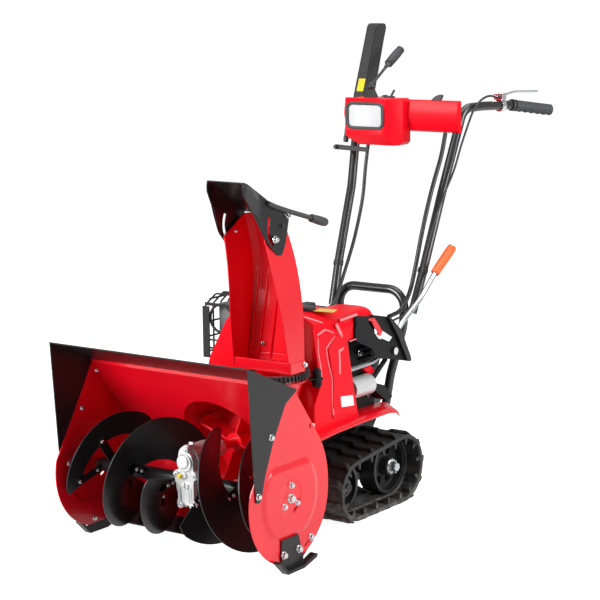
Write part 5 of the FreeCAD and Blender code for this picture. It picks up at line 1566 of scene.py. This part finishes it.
CREASE = 0.0022
bm = bmesh.new()
for path, width in (
    ([(0.337, 0.498), (0.297, 0.473), (0.303, 0.441), (0.321, 0.393), (0.324, 0.300)], 0.0026),
    ([(0.370, 0.462), (0.350, 0.458), (0.353, 0.399)], 0.0045),
    ([(0.262, 0.505), (0.262, 0.470), (0.279, 0.400)], 0.0030),
    ([(0.262, 0.512), (0.300, 0.520), (0.330, 0.508)], 0.0026),
):
    bead(bm, [from_side(y, z) for y, z in along(path)], width, CREASE, (1, 0, 0))
# The beads take the paler red: a painted highlight along each crease.
small_piece("cover_creases_painted_highlight", bm, "red_crease_painted_highlight", angle=50)

# %% Raised cheek at the rear of the cover
CHEEK_X = 0.1905
cheek_line = [
    (0.338, 0.531), (0.358, 0.5365), (0.434, 0.5400), (0.4375, 0.530), (0.430, 0.475), (0.396, 0.472),
    (0.368, 0.485),
]
window = [(0.384, 0.519), (0.412, 0.524), (0.418, 0.482), (0.390, 0.486)]
cheek_bm = pressed_sheet(
    rounded(cheek_line, 0.004, 3), [rounded(window, 0.004, 3)], 0.010, 0.012, lambda a, b: 0.0,
    lambda a, b, h: at(CHEEK_X + h, a, b),
)
small_piece("cover_cheek", cheek_bm, "red_moulding", angle=35)
bm = bmesh.new()
for path, width in (
    ([(0.341, 0.529), (0.368, 0.489)], 0.0058),
    ([(0.359, 0.5345), (0.434, 0.5385)], 0.0040),
    ([(0.399, 0.4745), (0.429, 0.4765)], 0.0020),
):
    bead(bm, [at(0.2020, y, z) for y, z in along(path)], width, CREASE, (1, 0, 0.25))
bead(
    bm, [from_above(x, y) for x, y in along([(0.146, 0.280), (0.188, 0.300)])], 0.0035, CREASE,
    (0.1, -0.5, 0.8),
)
# These beads also take the paler red: a painted highlight along each crease.
small_piece("cheek_creases_painted_highlight", bm, "red_crease_painted_highlight", angle=50)
bm = bmesh.new()
window_back = [(0.376, 0.476), (0.426, 0.478), (0.430, 0.532), (0.380, 0.529)]
plate(bm, window_back, 0.004, lambda a, b, h: at(CHEEK_X + h, a, b))
small_piece("cover_window_back", bm, "red_moulding", angle=35)

# %% Blank label patches
def side_sheet(name, outline, x, thickness, finish_name, corner=0.004, steps=3):
    """A piece of sheet that faces sideways: an outline in Y and Z with round corners."""
    bm = bmesh.new()
    plate(bm, rounded(outline, corner, steps), thickness, lambda a, b, h: at(x + h, a, b))
    return small_piece(name, bm, finish_name, "machine", 35)


corners = [(0.354, 0.341), (0.409, 0.335), (0.414, 0.307), (0.358, 0.313)]
patch_x = from_side(0.385, 0.322).x - 0.0003
side_sheet("cover_patch_white", corners, patch_x, 0.0012, "white_label", 0.002, 2)
bm = bmesh.new()
corners = [(0.137, 0.330), (0.131, 0.372), (0.178, 0.380), (0.190, 0.342)]
plate(bm, rounded(corners, 0.003, 2), 0.0012, lambda a, b, h: at(a, b, 0.5556 + h))
small_piece("cover_patch_yellow", bm, "yellow_label", angle=35)

# %% [markdown]
# ## Tank, cap and engine
# The tank is a low blow-moulded shell with a dome over its left half. It is stacked from rounded
# rectangles that shrink along a quarter circle. The engine keeps a rounded rear corner, cooling fins
# and a few bolts.

# %% Tank
def domed(bm, low, high, floor, top, edge, radius, steps=8):
    """A rounded block whose upper edge is a wide quarter circle."""
    rings = []
    levels = [(floor, 0.0)]
    for k in range(steps + 1):
        angle = math.pi / 2 * k / steps
        levels.append((top - edge + edge * math.sin(angle), edge * (1 - math.cos(angle))))
    for z, inset in levels:
        near_x, far_x, near_y, far_y = low[0] + inset, high[0] - inset, low[1] + inset, high[1] - inset
        corners = [(near_x, near_y), (far_x, near_y), (far_x, far_y), (near_x, far_y)]
        plan = rounded(corners, max(radius - inset * 0.7, 0.004), 6)
        rings.append([Vector((x, y, z)) for x, y in plan])
    bridge(bm, rings)


bm = bmesh.new()
domed(bm, (-0.090, behind(0.392)), (0.146, behind(0.612)), 0.4977, 0.511, 0.010, 0.030)
domed(bm, (0.020, behind(0.442)), (0.148, behind(0.612)), 0.499, 0.5290, 0.026, 0.045)
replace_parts(small_piece("tank_shell", bm, "red_moulding", angle=50), "fuel_tank")
bm = bmesh.new()
soft_box(bm, at(-0.086, 0.452, 0.508), at(-0.020, 0.556, 0.517), 0.004)
soft_box(bm, at(-0.062, 0.545, 0.505), at(-0.030, 0.583, 0.527), 0.004)
small_piece("tank_strap", bm, "black_moulding")

# %% Cap
bm = bmesh.new()
centre = at(0.118, 0.337, 0.5563)
ribs = 24
rings = []
for z, base in ((0.0, 0.0170), (0.0012, 0.0190), (0.0078, 0.0190), (0.0096, 0.0172), (0.0100, 0.0080)):
    ring = []
    for k in range(ribs * 4):
        angle = math.tau * k / (ribs * 4)
        radius = base + (0.0007 if k % 4 < 2 else -0.0004) * (1 if 0.001 < z < 0.009 else 0)
        ring.append(centre + Vector((radius * math.cos(angle), radius * math.sin(angle), z)))
    rings.append(ring)
bridge(bm, rings)
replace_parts(small_piece("tank_cap", bm, "black_moulding", angle=35), "fuel_cap")

# %% Engine
bm = bmesh.new()
plan = [(-0.150, 0.392), (0.150, 0.392), (0.150, 0.596), (0.100, 0.640), (0.040, 0.692), (-0.150, 0.692)]
middle = Vector((0.0, 0.54))
rings = []
for z, shrink in (
    (0.2624, 0.012), (0.272, 0.0), (0.300, 0.0), (0.306, 0.006), (0.440, 0.006), (0.446, 0.0), (0.485, 0.0),
    (0.4972, 0.010),
):
    ring = []
    for x, y in rounded(plan, 0.014, 4):
        out = (Vector((x, y)) - middle).normalized()
        ring.append(at(x - out.x * shrink, y - out.y * shrink, z))
    rings.append(ring)
bridge(bm, rings)
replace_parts(small_piece("engine_case", bm, "engine_black", angle=35), "engine_block")
bm = bmesh.new()
for k in range(9):
    z = 0.318 + 0.0135 * k
    for x, y in ((-0.147, 0.40), (0.147, 0.52)):
        soft_box(bm, at(x - 0.004, y, z), at(x + 0.004, y + 0.075, z + 0.003), 0.001, 2)
    soft_box(bm, at(-0.135, 0.684, z), at(0.000, 0.694, z + 0.003), 0.001, 2)
small_piece("engine_fins", bm, "engine_black", angle=35)
engine_bolts = []
for y, z, size in (
    (0.452, 0.402, 0.009), (0.520, 0.418, 0.008), (0.468, 0.476, 0.005), (0.560, 0.300, 0.006),
    (0.420, 0.300, 0.006),
):
    engine_bolts.append((at(0.150, y, z), ACROSS, REARWARD, size))
for x, z in ((-0.12, 0.29), (0.01, 0.29), (-0.12, 0.47), (0.01, 0.47)):
    engine_bolts.append((at(x, 0.692, z), REARWARD, ACROSS, 0.006))
bolted("engine_bolts", engine_bolts, "machine")

# %% [markdown]
# ## Gate at the height lever
# A black moulded gate guides the height lever. Its plate has a window, its rear edge is a wide rim,
# and a strut carries its lower corner.

# %% Gate
gate_line = rounded(
    [(0.425, 0.536), (0.566, 0.512), (0.662, 0.382), (0.529, 0.408), (0.500, 0.440), (0.428, 0.470)], 0.005,
    3,
)
gate_window = rounded(
    [(0.484, 0.512), (0.516, 0.508), (0.552, 0.478), (0.602, 0.452), (0.585, 0.440), (0.530, 0.462)], 0.003,
    3,
)
gate_bm = pressed_sheet(
    gate_line, [gate_window], 0.012, 0.004, lambda a, b: 0.0, lambda a, b, h: at(0.2010 + h, a, b)
)
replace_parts(small_piece("gate_plate", gate_bm, "engine_black", angle=35), "gate_panel")
rim = [
    (0.566, 0.5135), (0.578, 0.5095), (0.628, 0.469), (0.6755, 0.388), (0.6765, 0.3775), (0.6600, 0.3790),
    (0.612, 0.456),
]
side_sheet("gate_rim", rim, 0.1500, 0.0600, "black_enamel")
bm = bmesh.new()
soft_box(bm, at(0.1500, 0.428, 0.5040), at(0.2030, 0.436, 0.5340), 0.002, 2)
rod(bm, [at(0.178, 0.600, 0.392), at(0.176, 0.545, 0.352)], 0.0065, 12)
small_piece("gate_braces", bm, "engine_black", angle=35)
hook = [
    (0.486, 0.520), (0.513, 0.517), (0.530, 0.500), (0.551, 0.476), (0.541, 0.466), (0.526, 0.471),
    (0.530, 0.479), (0.512, 0.494), (0.500, 0.511), (0.486, 0.515),
]
side_sheet("gate_latch", hook, 0.1985, 0.003, "red_enamel", 0.002, 2)
guide = [(0.546, 0.484), (0.602, 0.4545), (0.585, 0.443), (0.533, 0.464), (0.542, 0.468)]
side_sheet("gate_guide", guide, 0.1975, 0.002, "white_label", 0.002, 2)
bm = bmesh.new()
turned(
    bm, [(0.0070, 0.0), (0.0100, 0.0), (0.0100, 0.004), (0.0070, 0.004)], at(0.2050, 0.604, 0.4160),
    (1, 0, 0), 24,
)
small_piece("gate_ring", bm, "bright_chrome")

# %% Small box and hose beside the starter
block = [(0.531, 0.343), (0.577, 0.328), (0.616, 0.290), (0.585, 0.286), (0.535, 0.320)]
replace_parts(side_sheet("side_relay", block, 0.1560, 0.034, "engine_black"), "side_box")
red_line = [(0.507, 0.381), (0.540, 0.386), (0.561, 0.367), (0.545, 0.360), (0.524, 0.370)]
side_sheet("side_red_clip", red_line, 0.158, 0.012, "red_moulding", 0.003)
bm = bmesh.new()
turned(
    bm, [(0.0, 0.0), (0.0085, 0.0), (0.0095, 0.003), (0.0095, 0.020), (0.0075, 0.026), (0.0, 0.027)],
    at(0.180, 0.4430, 0.276), (0, 0, 1), 20,
)
small_piece("side_spring_cup", bm, "zinc_plate")

# %% [markdown]
# ## Fender and frame end
# The left fender is a bent sheet: level along the track, turned down at its rear end. The frame is
# the CAD node with its rear corners drawn in.

# %% Fender
bm = bmesh.new()
FENDER_ROWS = [
    (0.223, 0.223, 0.2640), (0.300, 0.300, 0.2700), (0.430, 0.430, 0.2740), (0.540, 0.600, 0.2740),
    (0.570, 0.640, 0.2690), (0.586, 0.660, 0.2590), (0.592, 0.668, 0.2460),
]
loops = []
for outer_y, inner_y, z in FENDER_ROWS:
    inner, edge = at(0.1503, inner_y, z - 0.002), at(0.230, outer_y, z - 0.006)
    mid = at(0.222, outer_y + (inner_y - outer_y) * 0.1, z)
    drop = Vector((0, 0, 0.003))
    loops.append([inner, mid, edge, edge - drop, mid - drop, inner - drop])
bridge(bm, loops)
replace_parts(small_piece("fender_sheet", bm, "red_enamel"), "fender_left")

# %% Frame end
bm = bmesh.new()
bm.from_mesh(nodes["main_frame"].data)
cut_y = behind(0.600)
bmesh.ops.bisect_plane(
    bm, geom=bm.verts[:] + bm.edges[:] + bm.faces[:], dist=1e-6, plane_co=(0, cut_y, 0), plane_no=(0, 1, 0)
)
for vert in bm.verts:
    if vert.co.y > cut_y and abs(vert.co.x) > 0.09:
        share = (vert.co.y - cut_y) / (behind(0.7332) - cut_y)
        vert.co.x *= 1 - 0.45 * share
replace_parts(small_piece("frame_body", bm, "black_enamel", angle=30), "main_frame")

# %% [markdown]
# ## Gearbox and chute drive
# The gearbox keeps its CAD body. Ears with bolts stand round its cover, with a round bearing cap, a
# small boss and a yellow filler plug. The chute drive is a small gear case on an arm, with its worm
# housing lying under the ring.

# %% Gearbox details
GEAR_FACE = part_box("gearbox")[0].y
bm = bmesh.new()
ears = [(0.033, 0.266), (0.000, 0.203), (0.057, 0.206), (0.013, 0.128), (0.048, 0.129)]
for x, z in ears:
    turned(
        bm,
        [(0.0, 0.012), (0.0072, 0.012), (0.0076, 0.009), (0.0076, 0.0), (0.0066, -0.0015), (0.0, -0.0015)],
        (x, GEAR_FACE, z), (0, 1, 0), 20,
    )
turned(
    bm, [(0.0, -0.0042), (0.0150, -0.0042), (0.0172, -0.0022), (0.0180, 0.0), (0.0180, 0.004), (0.0, 0.004)],
    (0.024, GEAR_FACE, 0.236), (0, 1, 0), 40,
)
turned(
    bm, [(0.0, -0.0030), (0.0052, -0.0030), (0.0064, -0.0018), (0.0066, 0.004), (0.0, 0.004)],
    (0.022, GEAR_FACE, 0.178), (0, 1, 0), 24,
)
for x in (0.010, 0.042):
    rod(bm, [(x, GEAR_FACE - 0.0002, 0.136), (x - 0.002, GEAR_FACE - 0.0006, 0.1725)], 0.0016, 8)
small_piece("gearbox_cover", bm, "cast_metal")
gear_bolts = [(Vector((x, GEAR_FACE - 0.0012, z)), -REARWARD, ACROSS, 0.0052) for x, z in ears]
bolted("gearbox_bolts", gear_bolts, "machine")
bm = bmesh.new()
plug = (0.0155, GEAR_FACE + 0.0004, 0.200)
disc(bm, plug, (0, -1, 0), 0.0062, 0.0, 0.003, 20)
turned(
    bm, [(0.0, 0.003), (0.0048, 0.003), (0.0048, 0.0075), (0.0040, 0.0085), (0.0, 0.0085)], plug,
    (0, -1, 0), 6,
)
small_piece("gearbox_plug", bm, "yellow_label", angle=35)

# %% Chute drive
bm = bmesh.new()
turn = math.radians(43)
forward, aside = Vector((math.cos(turn), math.sin(turn))), Vector((-math.sin(turn), math.cos(turn)))
root = Vector((CHUTE_X, behind(0.172)))
arm = []
for reach, side in (
    (0.0776, -0.015), (0.100, -0.015), (0.118, -0.012), (0.126, -0.006), (0.126, 0.006), (0.118, 0.012),
    (0.100, 0.015), (0.0776, 0.015),
):
    spot = root + forward * reach + aside * side
    arm.append((spot.x, spot.y))
plate(bm, arm, 0.004, lambda a, b, h: (a, b, 0.4054 + h))
hub = root + forward * 0.111
turned(
    bm, [
        (0.0, 0.0), (0.0110, 0.0), (0.0110, 0.018), (0.0095, 0.0205), (0.0060, 0.022), (0.0060, 0.0245),
        (0.0, 0.025),
    ],
    (hub.x, hub.y, 0.4090), (0, 0, 1), 24,
)
turned(
    bm, [(0.0, 0.0), (0.0130, 0.0), (0.0130, 0.014), (0.0105, 0.018), (0.0, 0.018)], (hub.x, hub.y, 0.4056),
    (0, 0, -1), 24,
)
worm_from = root + forward * 0.110 - aside * 0.026
worm_to = root + forward * 0.108 + aside * 0.028
turned(
    bm, [
        (0.0, 0.0), (0.0070, 0.0), (0.0085, 0.003), (0.0085, 0.044), (0.0060, 0.049), (0.0060, 0.054),
        (0.0, 0.054),
    ],
    (worm_from.x, worm_from.y, 0.3965), (worm_to.x - worm_from.x, worm_to.y - worm_from.y, 0), 20,
)
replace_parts(small_piece("chute_gear", bm, "engine_black", angle=35), "chute_drive")
drive_bolts = []
for reach, side in ((0.086, 0.008), (0.086, -0.008), (0.104, 0.012)):
    spot = root + forward * reach + aside * side
    drive_bolts.append((Vector((spot.x, spot.y, 0.4094)), UPWARD, ACROSS, 0.0040))
bolted("chute_drive_bolts", drive_bolts, "machine")

# %% Handle collars
bm = bmesh.new()
for side in (1, -1):
    start, end = at(side * 0.215, 1.209, 1.017), at(side * 0.264, 1.331, 0.998)
    way = (end - start).normalized()
    turned(
        bm, [(0.0125, 0.0), (0.0165, 0.0015), (0.0170, 0.006), (0.0165, 0.0105), (0.0125, 0.012)],
        start - way * 0.014, way, 24,
    )
small_piece("handle_collars", bm)

# %% [markdown]
# ## Augers
# Each auger carries two starts of flighting, half a turn apart, wound so that both sides draw snow to
# the gearbox. The outer pieces are ribbons held on spokes and the inner ones reach in to the tube. One
# function winds a strip: its angle grows evenly along the axle, and its two edges are helices.

# %% Winding a flight
SCREW_PITCH = 0.240
SCREW_RADIUS = 0.1450
STRIP = 0.0035
SPOKE_SECTION = [(-0.011, -0.0018), (0.011, -0.0018), (0.011, 0.0018), (-0.011, 0.0018)]


def screw_angle(x, front_x, side):
    """Angle of a flight at a place along the axle: half a turn where it passes the front."""
    return math.pi + side * math.tau * (x - front_x) / SCREW_PITCH


def screw_point(x, radius, angle):
    """A point of a helix round the auger's axle."""
    return Vector((x, AUGER_Y + radius * math.cos(angle), AUGER_Z + radius * math.sin(angle)))


def wind(bm, start, end, front_x, side, inner):
    """Lays one helical strip between two places along the axle."""
    steps = max(6, int(abs(end - start) / SCREW_PITCH * 60))
    rows = []
    for k in range(steps + 1):
        x = start + (end - start) * k / steps
        angle = screw_angle(x, front_x, side)
        near_end = min(k, steps - k)
        outer = SCREW_RADIUS - (0.010 if near_end == 0 else 0.003 if near_end == 1 else 0.0)
        rows.append(
            [screw_point(x - STRIP / 2, inner, angle), screw_point(x - STRIP / 2, outer, angle),
             screw_point(x + STRIP / 2, outer, angle), screw_point(x + STRIP / 2, inner, angle)]
        )
    bridge(bm, rows)


def spoke(bm, x, front_x, side, inner):
    """A flat bar from the tube out to a ribbon, turned to lie along it."""
    angle = screw_angle(x, front_x, side)
    out = Vector((0, math.cos(angle), math.sin(angle)))
    across = Vector((side * 0.25, -math.sin(angle), math.cos(angle))).normalized()
    rows = []
    for reach in (0.0150, 0.040, 0.075, inner + 0.016):
        middle = Vector((x - side * STRIP, AUGER_Y, AUGER_Z)) + out * reach
        rows.append([middle + across * wide + Vector((deep, 0, 0)) for wide, deep in SPOKE_SECTION])
    bridge(bm, rows)


# %% Both augers
INNER_BOLT = 0.030
GEARBOX_ROOM = 0.08
FLIGHTS = {
    -1: [
        (-0.2850, -0.1850, -0.270, 0.088), (-0.1400, -0.0220, -0.270, 0.040),
        (-0.2500, -0.0200, -0.150, 0.040),
    ],
    1: [(0.0800, 0.2350, 0.147, 0.040), (0.0520, 0.1500, 0.027, 0.040), (0.2000, 0.2850, 0.267, 0.088)],
}
for side, node in ((-1, "auger_right"), (1, "auger_left")):
    bm = bmesh.new()
    low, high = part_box(node)[0].x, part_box(node)[1].x
    profile = [
        (0.0, 0.0), (0.0155, 0.0), (0.0172, 0.0015), (0.0172, high - low - 0.0015), (0.0155, high - low),
        (0.0, high - low),
    ]
    turned(bm, profile, (low, AUGER_Y, AUGER_Z), (1, 0, 0), 28)
    screw_bolts = []
    for start, end, front_x, inner in FLIGHTS[side]:
        wind(bm, start, end, front_x, side, inner)
        first, last = start + (end - start) * 0.06, start + (end - start) * 0.90
        for place in (first, (start + end) / 2, last):
            spoke(bm, place, front_x, side, inner)
            angle = screw_angle(place, front_x, side)
            for reach in (INNER_BOLT, inner + 0.010):
                if reach == INNER_BOLT and 0 < place < GEARBOX_ROOM:
                    continue
                spot = screw_point(place - side * STRIP, reach, angle)
                screw_bolts.append((spot + Vector((0.0018, 0, 0)), ACROSS, REARWARD, 0.0056))
    name = "left" if side > 0 else "right"
    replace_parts(small_piece("screw_" + name, bm, "black_enamel", "augers", 35), node)
    bolted("screw_bolts_" + name, screw_bolts, "augers")
